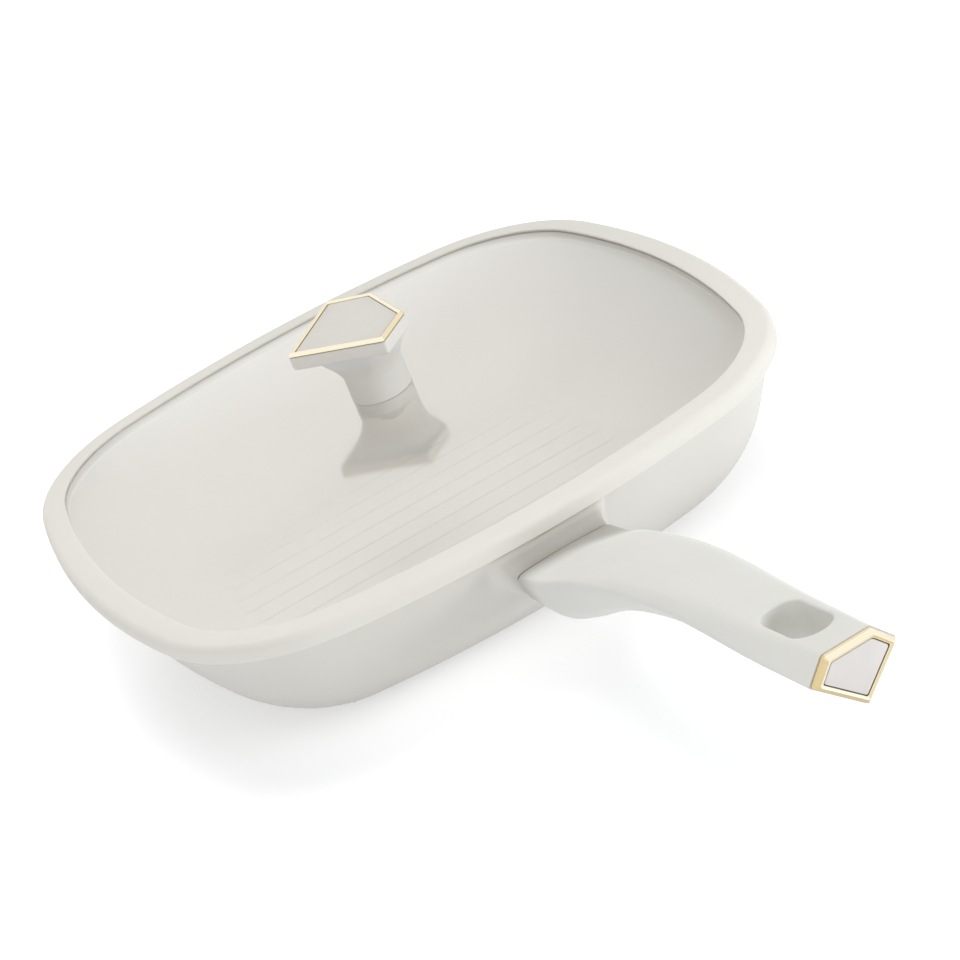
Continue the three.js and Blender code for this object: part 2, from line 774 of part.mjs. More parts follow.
// Soft gasket under the glass, with a sleeve that lines the hole
function knobGasket() {
  const bore = knobScrewRadius + screwClearance;
  const sleeve = glassHoleRadius - sleeveClearance;
  const under = glassTopZ - glassThickness;
  return turned([
    [bore, under - gasketThickness],
    [gasketRadius, under - gasketThickness],
    [gasketRadius, under],
    [sleeve, under],
    [sleeve, glassTopZ],
    [bore, glassTopZ],
    [bore, under - gasketThickness],
  ]);
}

// Pan with its base plate
place('pan_body', panBody(), ceramicCoat);
place('induction_plate', inductionPlate(), steel);

// Handle, its screw from below, and the frame and inlay on its end
place('handle_body', handleBody(), softTouch);
const handleScrewBore = handleScrewRadius + screwClearance;
const lockWasherBottomZ = handleSeatZ - lockWasherThickness;
place('handle_lock_washer', washer(
  lockWasherRadius, handleScrewBore, lockWasherBottomZ, handleSeatZ,
), steel).position.set(0, handleScrewY, 0);
place('handle_screw', panHeadScrew(
  handleScrewHeadRadius, handleScrewHeadHeight, handleScrewRadius, handleScrewReach,
), steel).position.set(0, handleScrewY, lockWasherBottomZ - handleScrewHeadHeight);
place('handle_end_trim', bevelledFrame(
  endCorners, endTrimWidth, endTrimBevel, endTrimDip, endTrimDepth, standAtEnd,
), gold);
place('handle_end_badge', inlayPlate(
  endCorners, endTrimWidth + badgeClearance, endBadgeThickness, standAtEnd,
), inlay);

// Lid
place('lid_rim', lidRim(), silicone);
place('glass_panel', glassPanel(), glass);

// Knob and what holds it, from the frame down to the screw's head
const knobSeatZ = knobTopZ - knobTrimHeight;
place('knob_body', knobBody(), softTouch);
place('knob_trim', bevelledFrame(
  knobCorners, knobTrimWidth, knobTrimBevel, knobTrimDip, knobTrimHeight, standOnKnob(knobSeatZ),
), gold);
place('knob_badge', inlayPlate(
  knobCorners, knobTrimWidth + badgeClearance, knobBadgeThickness, standOnKnob(knobSeatZ),
), inlay);
place('knob_insert', knobInsert(), brass);
const knobBore = knobScrewRadius + screwClearance;
const washerTopZ = glassTopZ - glassThickness - gasketThickness;
const springTopZ = washerTopZ - washerThickness;
const headTopZ = springTopZ - springWasherThickness;
place('knob_seat', washer(seatRadius, knobBore, glassTopZ, insertBottomZ), hiddenSilicone);
place('knob_gasket', knobGasket(), hiddenSilicone);
place('knob_washer', washer(washerRadius, knobBore, springTopZ, washerTopZ), steel);
place('knob_spring_washer', washer(springWasherRadius, knobBore, headTopZ, springTopZ), steel);
place('knob_screw', panHeadScrew(
  knobScrewHeadRadius, knobScrewHeadHeight, knobScrewRadius, insertTopZ - screwEndGap - headTopZ,
), steel).position.set(0, 0, headTopZ - knobScrewHeadHeight);

export default assembly;
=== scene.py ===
import math

import bmesh
import bpy
from mathutils import Matrix, Vector


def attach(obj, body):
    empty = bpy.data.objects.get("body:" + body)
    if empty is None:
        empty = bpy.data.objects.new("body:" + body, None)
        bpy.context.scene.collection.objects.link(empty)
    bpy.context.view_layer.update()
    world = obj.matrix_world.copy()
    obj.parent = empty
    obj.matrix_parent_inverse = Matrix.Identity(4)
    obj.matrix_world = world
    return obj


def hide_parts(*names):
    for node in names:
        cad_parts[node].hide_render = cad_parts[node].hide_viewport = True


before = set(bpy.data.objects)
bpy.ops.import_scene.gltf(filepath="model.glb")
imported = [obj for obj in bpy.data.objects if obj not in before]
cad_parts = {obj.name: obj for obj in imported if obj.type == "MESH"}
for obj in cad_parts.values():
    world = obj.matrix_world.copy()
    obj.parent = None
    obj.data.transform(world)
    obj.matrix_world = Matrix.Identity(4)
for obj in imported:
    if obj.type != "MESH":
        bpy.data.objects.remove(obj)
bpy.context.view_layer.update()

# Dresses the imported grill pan: finer coated, moulded, glass and metal pieces over the same sizes.
# Sizes are in millimetres until a piece is made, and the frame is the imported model's.

MM = 0.001

# Lid outline, a square with bowed sides and wide corners
LID_HALF_LENGTH = 145
LID_HALF_WIDTH = 139.5
LONG_SIDE_RADIUS = 408
SHORT_SIDE_RADIUS = 359
CORNER_RADIUS = 71.5
SIDE_STEPS = 12
CORNER_STEPS = 20

# Pan
PAN_HEIGHT = 59.1
WALL_THICKNESS = 3.6
FLOOR_THICKNESS = 5
WALL_SETBACK = 3.1
WALL_DRAFT = 26.5
BOTTOM_RADIUS = 37
BASE_CORNER_RADIUS = 16
RIM_EDGE = 0.8
RIB_PITCH = 13
RIB_FOOT = 4.8
RIB_TOP = 2.6
RIB_HEIGHT = 3
RIB_MARGIN = 1.5
RIB_ROUND = 0.8
RIB_SINK = 0.5
RIBS_EACH_SIDE = 6
PLATE_INSET = WALL_SETBACK + WALL_DRAFT + BOTTOM_RADIUS + 9
PLATE_GAP = 0.3
PLATE_THICKNESS = 2.2
POCKET_CHAMFER = 0.3
STUD_RADIUS = 2.9
STUD_PITCH = 24
CUTTER_OVERRUN = 5

# Handle and the cast lug that carries it
LUG_REACH = 10
LUG_SWELL = 9
LUG_SINK = 0.6
LUG_EDGE_INSET = 0.6
LUG_STEPS = 24
LUG_TOP = 56.5
HANDLE_LENGTH = 222.3
HANDLE_ROOT_TOP = 53
HANDLE_RISE = 50.4
ROOT_HALF = 21
END_HALF = 15.8
END_DEPTH = 23.4
END_SHOULDER = 8.2
HANDLE_CROWN = 2
ROOT_CUT = 7
END_CUT = 0.8
STATIONS = (0, 0.1, 0.22, 0.42, 0.6, 0.8, 1)
RISE = (0, 0.161, 0.368, 0.618, 0.769, 0.867, 1)
WIDTH = (1, 0.8, 0.6, 0.33, 0.12, 0, 0)
DEPTH = (1, 1.185, 1.05, 0.751, 0.77, 0.885, 1)
SHOULDER = (0.265, 0.456, 0.535, 0.601, 0.79, 1.02, 1)
CROWN = (0.25, 1.1, 1, 0.3, 0, 0, 0)
TOP_WIDTH = (0.88, 0.79, 0.814, 0.812, 0.78, 0.7, 0.55)
LOW_WIDTH = (0.84, 0.869, 0.878, 0.862, 0.74, 0.6, 0.5)
LOW_DEPTH = (0.6, 0.76, 0.902, 0.807, 0.658, 0.623, 0.675)
CUT = (1, 0.925, 0.838, 0.712, 0.5, 0.22, 0)
SLOT_LENGTH = 36
SLOT_WIDTH = 14.8
SLOT_SETBACK = 32
SLOT_ROUND = 1
SLOT_BLUNT = 4.2
SLOT_LEAN = 3
SLOT_DRAFT = 3
JOINT_DEPTH = 1.8
JOINT_WIDTH = 1.4
SCREW_SETBACK = 12
SCREW_WELL_RADIUS = 5.15
SCREW_WELL_TOP = 39
FACE_Y = -(LID_HALF_WIDTH - WALL_SETBACK + LUG_REACH)
END_Y = FACE_Y - HANDLE_LENGTH

# Frames and inlays
END_TRIM_LEDGE = 0.4
END_TRIM_DEPTH = 3
END_BADGE_THICKNESS = 2.5
TRIM_WIDTH = 2.3
BADGE_GAP = 0.3
TRIM_CUT = 0.7
# How the painted reflection on the frames deepens as faces turn away from a set light
FRAME_BRIGHT = 0.62
FRAME_FALL = 1.8
END_FRAME_LIGHT = Vector((0.8, -0.62, 0.4))
KNOB_FRAME_LIGHT = Vector((-0.6, -0.55, 0.58))
KNOB_TRIM_HEIGHT = 2
KNOB_BADGE_THICKNESS = 1.3

# Rim and glass
RIM_TOP_Z = 65.4
RIM_WIDTH = 11.2
RIM_CROWN = 0.4
RIM_ROUND = 3
LIP_ROUND = 0.45
SEAT_ROUND = 0.8
SKIRT_ROUND = 0.5
SKIRT_TOP_Z = RIM_TOP_Z - RIM_CROWN - RIM_ROUND
SKIRT_BOTTOM_Z = 57.9
SKIRT_THICKNESS = 2.4
LID_SEAT_Z = 59.4
GLASS_BOTTOM_Z = 61
GLASS_EDGE_Z = 64.5
GLASS_THICKNESS = 3.5
GLASS_RISE = 11.7
GLASS_TOP_Z = GLASS_EDGE_Z + GLASS_RISE
GLASS_HIDDEN = 5.7
GLASS_EDGE_GAP = 0.3
GLASS_GRIND = 0.5
GLASS_HOLE = 5.2
GLASS_SEAT_RADIUS = 11
GLASS_FLAT = 17

# Knob
STEM_RADIUS = 12.7
STEM_FLARE = 9.4
FLARE_HEIGHT = 14
FLARE_DROP = (1, 0.8, 0.55, 0.3, 0.12, 0)
FLARE_SPREAD = (0, 0.126, 0.345, 0.64, 0.84, 1)
KNOB_SEAT_Z = 107.2
KNOB_PLATE = 6
KNOB_CHAMFER = 1.5
KNOB_CORNERS = ((16, 0), (-16, 0), (-30.7, -16.2), (0, -46.9), (30.7, -16.2))
KNOB_REACH = 16.2
KNOB_CUT = 1.2
KNOB_EDGE = 0.25
STEM_EDGE = 0.3

# Where painted shade, shadow and reflection start and are full, in metres on the piece. They stand for
# soft studio light
LUG_SHADE_LEFT = (-0.032, -0.01)
LUG_SHADE_RIGHT = (0.038, 0.0295)
LUG_SHADE_REACH = (-0.1315, -0.1475)
WALL_SHADE = (-0.085, -0.135)
JOINT_SHADOW = ((FACE_Y + 0.9) * MM, (FACE_Y + 0.3) * MM)
ROOT_SHADE = ((FACE_Y - 29) * MM, (FACE_Y - 6) * MM)
KNOB_UNDER_SHADE = ((KNOB_SEAT_Z - 4.5) * MM, (KNOB_SEAT_Z - 5.8) * MM)
STEM_SHADE = ((KNOB_SEAT_Z - 9) * MM, (KNOB_SEAT_Z - 15) * MM)
RIM_FAR_SHADE = (-0.02, 0.19)
GLASS_LEFT_REFLECTION = (0.16, 0.04)
BRINK_SHADOW_HEIGHT = (0.0668, 0.0647)
BRINK_SHADOW_REACH = (-0.03, 0.08)
HUB_VEIL_RADIUS = (0.027, 0.017)
HUB_VEIL_REACH = (-0.002, -0.006)
HUB_VEIL_HALF_WIDTH = (0.0122, 0.011)

# Studio
CAMERA_ANGLES = (-16.2023, 26.2284, -22.3013)
CAMERA_SHIFT = (0.03468, -0.02506)
CAMERA_DISTANCE = 1.17739
CAMERA_AIM = (0, 0, 0.062)
CAMERA_LENS = 108.714
LAMP_AIM = (0, 0, 0.05)
FLOOR_GLOW = 0.09
FLOOR_SEEN_GLOW = 0.275
SKY_LIGHT = 0.287


# Outlines


def rounded_square(inset):
    """The lid's outline moved inwards, as points from +X round to the left."""
    long_radius = LONG_SIDE_RADIUS - inset
    short_radius = SHORT_SIDE_RADIUS - inset
    corner = max(CORNER_RADIUS - inset, BASE_CORNER_RADIUS)
    long_middle = Vector((0, LID_HALF_WIDTH - inset - long_radius))
    short_middle = Vector((LID_HALF_LENGTH - inset - short_radius, 0))
    long_reach, short_reach = long_radius - corner, short_radius - corner
    along = short_middle - long_middle
    apart = along.length
    along.normalize()
    across = Vector((along.y, -along.x))
    foot = (long_reach**2 - short_reach**2 + apart**2) / (2 * apart)
    middle = long_middle + along * foot + across * math.sqrt(long_reach**2 - foot**2)
    side_end = math.atan2(*reversed(middle - short_middle))
    side_start = math.atan2(*reversed(middle - long_middle))

    def arc(centre, radius, start, end, steps):
        turns = (start + (end - start) * k / steps for k in range(1, steps + 1))
        return [centre + radius * Vector((math.cos(t), math.sin(t))) for t in turns]

    quarter = [Vector((LID_HALF_LENGTH - inset, 0))]
    quarter += arc(short_middle, short_radius, 0, side_end, SIDE_STEPS)
    quarter += arc(middle, corner, side_end, side_start, CORNER_STEPS)
    quarter += arc(long_middle, long_radius, side_start, math.pi / 2, SIDE_STEPS)
    loop = []
    for sign_x, sign_y in ((1, 1), (-1, 1), (-1, -1), (1, -1)):
        points = [Vector((p.x * sign_x, p.y * sign_y)) for p in quarter]
        if sign_x * sign_y < 0:
            points.reverse()
        loop += points[:-1]
    return loop


def level(inset, z):
    return [(p.x, p.y, z) for p in rounded_square(inset)]


def inset_corners(corners, inset):
    moved = []
    for i, corner in enumerate(corners):
        into = (corner - corners[i - 1]).normalized()
        out = (corners[(i + 1) % len(corners)] - corner).normalized()
        bisector = Vector((-into.y - out.y, into.x + out.x)).normalized()
        moved.append(corner + bisector * (inset / bisector.dot(Vector((-into.y, into.x)))))
    return moved


def soft_corners(corners, cut, steps=6):
    """Rounds each corner with a curve that starts and ends one cut away from it."""
    loop = []
    for i, corner in enumerate(corners):
        ends = []
        for other in (corners[i - 1], corners[(i + 1) % len(corners)]):
            ends.append(corner.lerp(other, min(cut / (other - corner).length, 0.33)))
        for k in range(steps + 1):
            t = k / steps
            loop.append(ends[0].lerp(corner, t).lerp(corner.lerp(ends[1], t), t))
    return loop


def quarter_round(steps=5):
    """Shares of a rounding, from its upright start to its level end."""
    for k in range(steps + 1):
        angle = math.pi / 2 * k / steps
        yield 1 - math.cos(angle), math.sin(angle)


def through(places, values, at):
    """A smooth value through one value at each place."""
    last = len(places) - 1
    i = 0
    while i < last - 1 and at > places[i + 1]:
        i += 1

    def slope(k):
        low, high = max(k - 1, 0), min(k + 1, last)
        return (values[high] - values[low]) / (places[high] - places[low])

    span = places[i + 1] - places[i]
    t = (at - places[i]) / span
    rest = 1 - t
    ends = values[i] * rest * rest * (1 + 2 * t) + values[i + 1] * t * t * (3 - 2 * t)
    return ends + slope(i) * span * t * rest * rest - slope(i + 1) * span * t * t * rest


# Meshes


def skin(loops, ring=False, caps=True):
    """Points and faces over loops of equally many points, closed at its ends or on itself."""
    count = len(loops[0])
    points = [p for loop in loops for p in loop]
    faces = []
    for i in range(len(loops) if ring else len(loops) - 1):
        low, high = i * count, (i + 1) % len(loops) * count
        for j in range(count):
            after = (j + 1) % count
            faces.append((low + j, low + after, high + after, high + j))
    if not ring and caps:
        faces.append(tuple(reversed(range(count))))
        faces.append(tuple(range(len(points) - count, len(points))))
    return points, faces


def make(name, points, faces, crease=32):
    """An object from points in millimetres, smooth but for its sharper edges."""
    mesh = bpy.data.meshes.new(name)
    mesh.from_pydata([[c * MM for c in p] for p in points], [], faces)
    obj = bpy.data.objects.new(name, mesh)
    bpy.context.scene.collection.objects.link(obj)
    tidy(obj, crease)
    return obj


def tidy(obj, crease=32):
    """Welds an object's mesh, turns its faces outwards and smooths it below an angle."""
    shape = bmesh.new()
    shape.from_mesh(obj.data)
    bmesh.ops.remove_doubles(shape, verts=shape.verts, dist=1e-7)
    bmesh.ops.recalc_face_normals(shape, faces=shape.faces)
    for face in shape.faces:
        face.smooth = True
    for edge in shape.edges:
        edge.smooth = edge.calc_face_angle(0) < math.radians(crease)
    shape.to_mesh(obj.data)
    shape.free()


def joined_and_cut(obj, added=(), removed=()):
    """Joins closed shapes to a piece, cuts others out of it, and takes them all away."""
    tools = [(tool, "UNION") for tool in added] + [(tool, "DIFFERENCE") for tool in removed]
    for tool, operation in tools:
        change = obj.modifiers.new(operation, "BOOLEAN")
        change.operation, change.solver, change.object = operation, "EXACT", tool
    ready = obj.evaluated_get(bpy.context.evaluated_depsgraph_get())
    plain = bpy.data.meshes.new_from_object(ready)
    obj.modifiers.clear()
    obj.data = plain
    for tool, _ in tools:
        bpy.data.objects.remove(tool)
    tidy(obj)
    return obj


def settle(obj, finish, body, slot, *nodes):
    """Gives a piece its finish, the body it rides on and the CAD nodes that it stands for."""
    obj.data.materials.clear()
    obj.data.materials.append(finish)
    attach(obj, body)
    if nodes:
        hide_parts(*nodes)
    return obj


# Node trees


class Wire:
    """A socket in a node tree, so that sums on it read as sums."""

    def __init__(self, bench, socket):
        self.bench = bench
        self.socket = socket

    def sum(self, operation, *terms):
        return self.bench.add("ShaderNodeMath", {"operation": operation}, dict(enumerate(terms)))

    def __add__(self, other):
        return self.sum("ADD", self, other)

    def __radd__(self, other):
        return self.sum("ADD", other, self)

    def __sub__(self, other):
        return self.sum("SUBTRACT", self, other)

    def __rsub__(self, other):
        return self.sum("SUBTRACT", other, self)

    def __mul__(self, other):
        return self.sum("MULTIPLY", self, other)

    def __rmul__(self, other):
        return self.sum("MULTIPLY", other, self)

    def __truediv__(self, other):
        return self.sum("DIVIDE", self, other)

    def __pow__(self, other):
        return self.sum("POWER", self, other)

    def __abs__(self):
        return self.sum("ABSOLUTE", self)


class Bench:
    """A node tree under construction."""

    def __init__(self, tree):
        self.tree = tree
        tree.nodes.clear()

    def add(self, kind, settings=None, values=None, out=0):
        """One node with its settings, and the values or wires of its sockets."""
        node = self.tree.nodes.new(kind)
        for key, value in (settings or {}).items():
            if key == "stops":
                ramp = node.color_ramp.elements
                while len(ramp) < len(value):
                    ramp.new(1)
                for element, (place, colour) in zip(ramp, value):
                    element.position, element.color = place, colour
            else:
                setattr(node, key, value)
        for key, value in (values or {}).items():
            if isinstance(value, Wire):
                self.tree.links.new(value.socket, node.inputs[key])
            else:
                node.inputs[key].default_value = value
        return Wire(self, node.outputs[out]) if len(node.outputs) else node

    def ray(self, kind):
        """One where the ray is of a kind, nought elsewhere."""
        return self.add("ShaderNodeLightPath", out=f"Is {kind} Ray")


def tone(red, green, blue):
    """A colour from its three display values of 0 to 255."""
    shares = [c / 255 for c in (red, green, blue)]
    return [*(s / 12.92 if s <= 0.04045 else ((s + 0.055) / 1.055) ** 2.4 for s in shares), 1]


class Finish(Bench):
    """A material, with the textures that its sums are made of."""

    def __init__(self, name):
        self.material = bpy.data.materials.new(name)
        self.material.use_nodes = True
        super().__init__(self.material.node_tree)
        self.place = self.add("ShaderNodeTexCoord", out="Object")

    def axis(self, name):
        """One coordinate of the place on the piece, in metres."""
        return self.add("ShaderNodeSeparateXYZ", values={0: self.place}, out=name)

    def noise(self, scale, detail=3, stretch=(1, 1, 1)):
        """Even noise on the piece, at a scale in waves per metre."""
        at = self.add("ShaderNodeMapping", values={"Vector": self.place, "Scale": stretch})
        values = {"Vector": at, "Scale": scale, "Detail": detail, "Roughness": 0.55}
        return self.add("ShaderNodeTexNoise", values=values)

    def cells(self, scale):
        """Distance to the nearest of many scattered points."""
        return self.add("ShaderNodeTexVoronoi", values={"Vector": self.place, "Scale": scale})

    def mix(self, share, first, second):
        settings = {"data_type": "RGBA"}
        return self.add("ShaderNodeMix", settings, {0: share, 6: first, 7: second}, out=2)

    def ramp(self, value, start, end):
        """Nought below start, one above end, and smooth between."""
        settings = {"interpolation_type": "SMOOTHSTEP"}
        return self.add("ShaderNodeMapRange", settings, {0: value, 1: start, 2: end})

    def bump(self, height, depth, strength=1.0):
        """Relief of a depth in millimetres."""
        values = {"Height": height, "Distance": depth * MM, "Strength": strength}
        return self.add("ShaderNodeBump", values=values)

    def surface(self, **sockets):
        """Ends the tree in one Principled shader and gives the material back."""
        names = {key: key.replace("_", " ").title().replace("Ior", "IOR") for key in sockets}
        values = {names[key]: value for key, value in sockets.items()}
        return self.end(self.add("ShaderNodeBsdfPrincipled", values=values))

    def end(self, shader):
        self.add("ShaderNodeOutputMaterial", values={"Surface": shader})
        return self.material


# Finishes


def ceramic_coat():
    """Satin sprayed ceramic: fine orange peel and a faint mottle, with painted shade on the left wall
    and in the crook at the lug, and a painted contact shadow where the handle meets the lug.
    """
    coat = Finish("ceramic_coat")
    cloud = coat.noise(28, 2)
    fleck = coat.ramp(coat.cells(1400), 0.16, 0.05)
    shade = coat.mix(cloud, tone(222, 219, 212), tone(226, 223, 217))
    x, y = coat.axis("X"), coat.axis("Y")
    # Mask for painted shade in the crook between the rim, the wall and the handle, deepest by the
    # handle's face
    lug = coat.ramp(x, *LUG_SHADE_LEFT) * coat.ramp(x, *LUG_SHADE_RIGHT) * coat.ramp(y, *LUG_SHADE_REACH)
    # Painted shade on the left wall, darker towards the left
    shade = coat.mix(coat.ramp(x, *WALL_SHADE), shade, tone(217, 214, 208))
    shade = coat.mix(lug, shade, tone(168, 164, 157))
    # Painted contact shadow: a near-black line on the lug where the handle meets it
    shade = coat.mix(coat.ramp(y, *JOINT_SHADOW), shade, tone(118, 114, 107))
    peel = coat.noise(520, 2) + 0.25 * coat.noise(2600, 2)
    return coat.surface(
        base_color=coat.mix(0.16 * fleck, shade, tone(196, 190, 178)),
        roughness=0.36 + 0.1 * coat.noise(160),
        normal=coat.bump(peel, 0.035, 0.6),
        specular_ior_level=0.45,
        coat_weight=0.12,
        coat_roughness=0.2,
    )


def soft_touch(name, dark, light, along, *shades):
    """Rubbery paint with a fine grain, and painted shades that come in between two places on a line."""
    paint = Finish(name)
    shade = paint.mix(paint.noise(40, 2), dark, light)
    at = paint.add("ShaderNodeVectorMath", {"operation": "DOT_PRODUCT"}, {
        0: paint.place, 1: along,
    }, out="Value")
    for span, other in shades:
        shade = paint.mix(paint.ramp(at, *span), shade, other)
    grain = paint.noise(1900, 2) + 0.5 * paint.cells(2600)
    return paint.surface(
        base_color=shade,
        roughness=0.5 + 0.12 * paint.noise(300),
        normal=paint.bump(grain, 0.02, 0.5),
        specular_ior_level=0.38,
        sheen_weight=0.12,
        sheen_roughness=0.5,
    )


def rim_silicone():
    """Moulded silicone: matt, slightly translucent, faintly streaked, with painted shade on the far
    side.
    """
    rubber = Finish("moulded_silicone")
    flow = rubber.noise(60, 3, (1, 1, 3))
    shade = rubber.mix(flow, tone(229, 226, 218), tone(233, 230, 223))
    # Painted shade, darker towards the far side
    away = rubber.ramp(rubber.axis("Y") + 0.8 * rubber.axis("X"), *RIM_FAR_SHADE)
    shade = rubber.mix(away, shade, tone(219, 217, 209))
    return rubber.surface(
        base_color=shade,
        roughness=0.5 + 0.14 * rubber.noise(240),
        normal=rubber.bump(rubber.noise(1200, 2), 0.03, 0.5),
        subsurface_weight=0.08,
        subsurface_radius=(0.004, 0.003, 0.002),
        subsurface_scale=0.5,
        specular_ior_level=0.42,
    )


def hidden_silicone():
    rubber = Finish("seat_silicone")
    shade = rubber.mix(rubber.noise(200), tone(231, 228, 220), tone(238, 236, 229))
    return rubber.surface(
        base_color=shade,
        roughness=0.5 + 0.15 * rubber.noise(500),
        normal=rubber.bump(rubber.noise(1500), 0.03, 0.5),
    )


def tempered_glass():
    """Clear glass: outer faces mirror, most of all just in front of the stem where a paler painted
    reflection lies, with painted reflection stronger to the left and a painted shadow along the far
    edges; the rest goes straight through.
    """
    glass = Finish("tempered_glass")
    film = glass.ramp(glass.noise(22, 4), 0.35, 0.75)
    x, y, z = (glass.axis(name) for name in "XYZ")
    # Painted shadow of the rim on the glass along its far edges
    brink = glass.ramp(z, *BRINK_SHADOW_HEIGHT) * glass.ramp(x + y, *BRINK_SHADOW_REACH)
    # Painted reflection: a stronger, paler mirror just in front of the stem, over the shaded washers
    # below
    painted_veil = glass.ramp((x * x + y * y) ** 0.5, *HUB_VEIL_RADIUS)
    painted_veil = painted_veil * glass.ramp(0.28 * x + 0.96 * y, *HUB_VEIL_REACH)
    painted_veil = painted_veil * glass.ramp(abs(0.96 * x - 0.28 * y), *HUB_VEIL_HALF_WIDTH)
    # Painted reflection: the mirror is brighter towards the left and dimmer towards the right
    left = glass.ramp(x - 0.5 * y, *GLASS_LEFT_REFLECTION)
    sheen = glass.mix(left, tone(213, 211, 206), tone(243, 240, 234))
    sheen = glass.mix(0.7 * painted_veil, sheen, tone(234, 234, 235))
    sheen = glass.mix(0.8 * brink, sheen, tone(185, 182, 175))
    mirror = glass.add("ShaderNodeBsdfPrincipled", values={
        "Base Color": sheen,
        "Metallic": 1.0,
        "Roughness": 0.1 + 0.03 * film,
    })
    clear = glass.add("ShaderNodeBsdfTransparent", values={"Color": tone(252, 252, 252)})
    inside = glass.add("ShaderNodeNewGeometry", out="Backfacing")
    fill = glass.ray("Shadow") + glass.ray("Diffuse")
    gloss = 0.43 + 0.45 * painted_veil + 1.1 * glass.add("ShaderNodeFresnel", values={"IOR": 1.5})
    share = gloss.sum("MINIMUM", gloss, 1.0) * (1.0 - inside) * (1.0 - fill)
    return glass.end(glass.add("ShaderNodeMixShader", values={0: share, 1: clear, 2: mirror}))


def pale_gold():
    """Polished pale gold plating with painted reflection: pale on a frame's faces that turn to a set
    light, deeper on those that turn away, and a painted shadow in the groove at the frame's foot.
    """
    gold = Finish("pale_gold_plating")
    trace = gold.noise(900, 3, (1, 6, 1))
    # Painted reflection and shade: how far each face turns from a set light, full in the foot groove
    side = gold.add("ShaderNodeAttribute", {"attribute_name": "side"}, out="Fac")
    face = gold.mix(trace, tone(251, 241, 211), tone(254, 248, 226))
    edge = gold.mix(trace, tone(214, 186, 128), tone(230, 206, 152))
    foot = gold.ramp(side, 0.88, 0.98)
    return gold.surface(
        base_color=gold.mix(foot, gold.mix(side, face, edge), tone(160, 140, 88)),
        metallic=1.0,
        roughness=0.14 + 0.1 * trace,
        normal=gold.bump(trace, 0.008, 0.4),
    )


def satin_inlay(name, dark, light):
    """Bare satin inlay with a fine pearl in it."""
    pearl = Finish(name)
    spark = pearl.ramp(pearl.cells(3800), 0.2, 0.05)
    shade = pearl.mix(pearl.noise(90), dark, light)
    return pearl.surface(
        base_color=pearl.mix(0.25 * spark, shade, tone(236, 233, 226)),
        roughness=0.34 + 0.1 * pearl.noise(420),
        metallic=0.08 + 0.2 * spark,
        normal=pearl.bump(pearl.noise(2400, 2), 0.01, 0.4),
        coat_weight=0.2,
        coat_roughness=0.25,
    )


def base_steel():
    """Stainless plate turned in fine rings."""
    steel = Finish("turned_base_steel")
    x, y = steel.axis("X"), steel.axis("Y")
    radius = (x * x + y * y) ** 0.5
    rings = steel.add("ShaderNodeTexNoise", {"noise_dimensions": "1D"}, {"W": radius, "Scale": 2600})
    wear = steel.ramp(steel.noise(34, 4), 0.45, 0.7)
    shade = steel.mix(rings, tone(186, 187, 188), tone(206, 206, 205))
    return steel.surface(
        base_color=steel.mix(0.3 * wear, shade, tone(172, 170, 168)),
        metallic=1.0,
        roughness=0.26 + 0.12 * rings + 0.08 * wear,
        normal=steel.bump(rings, 0.012, 0.6),
    )


def machined(name, dark, light):
    """Turned metal of screws, washers and the insert."""
    metal = Finish(name)
    lines = metal.noise(700, 3, (1, 1, 9))
    return metal.surface(
        base_color=metal.mix(lines, dark, light),
        metallic=1.0,
        roughness=0.26 + 0.16 * lines,
        normal=metal.bump(lines, 0.01, 0.5),
    )


COAT = ceramic_coat()
# Painted shade on the handle's root: deepest by the lug, fading out along the handle, slanted across it
HANDLE_PAINT = soft_touch(
    "soft_touch_handle", tone(226, 225, 219), tone(231, 230, 225), (0.6, 1, 0),
    (ROOT_SHADE, tone(168, 165, 158)),
)
# Lighter tone on the plate, with painted shade under it: slightly darker and cooler below the plate,
# deeper down the stem
KNOB_PAINT = soft_touch(
    "soft_touch_knob", tone(232, 229, 223), tone(237, 234, 228), (0, 0, 1),
    (KNOB_UNDER_SHADE, tone(230, 230, 232)), (STEM_SHADE, tone(226, 224, 219)),
)
RUBBER = rim_silicone()
HIDDEN_RUBBER = hidden_silicone()
GLASS = tempered_glass()
GOLD = pale_gold()
# Lit and shaded copies of one satin inlay: the end's is painted lighter and pinker, the knob's darker
END_INLAY_LIT = satin_inlay("satin_inlay_end", tone(224, 218, 215), tone(229, 224, 220))
KNOB_INLAY_SHADED = satin_inlay("satin_inlay_knob", tone(209, 205, 197), tone(214, 210, 202))
BASE_STEEL = base_steel()
FIXING_STEEL = machined("nickel_plated_steel", tone(204, 204, 202), tone(226, 226, 223))
BRASS = machined("machined_brass", tone(190, 158, 92), tone(214, 184, 120))


# Things that repeat


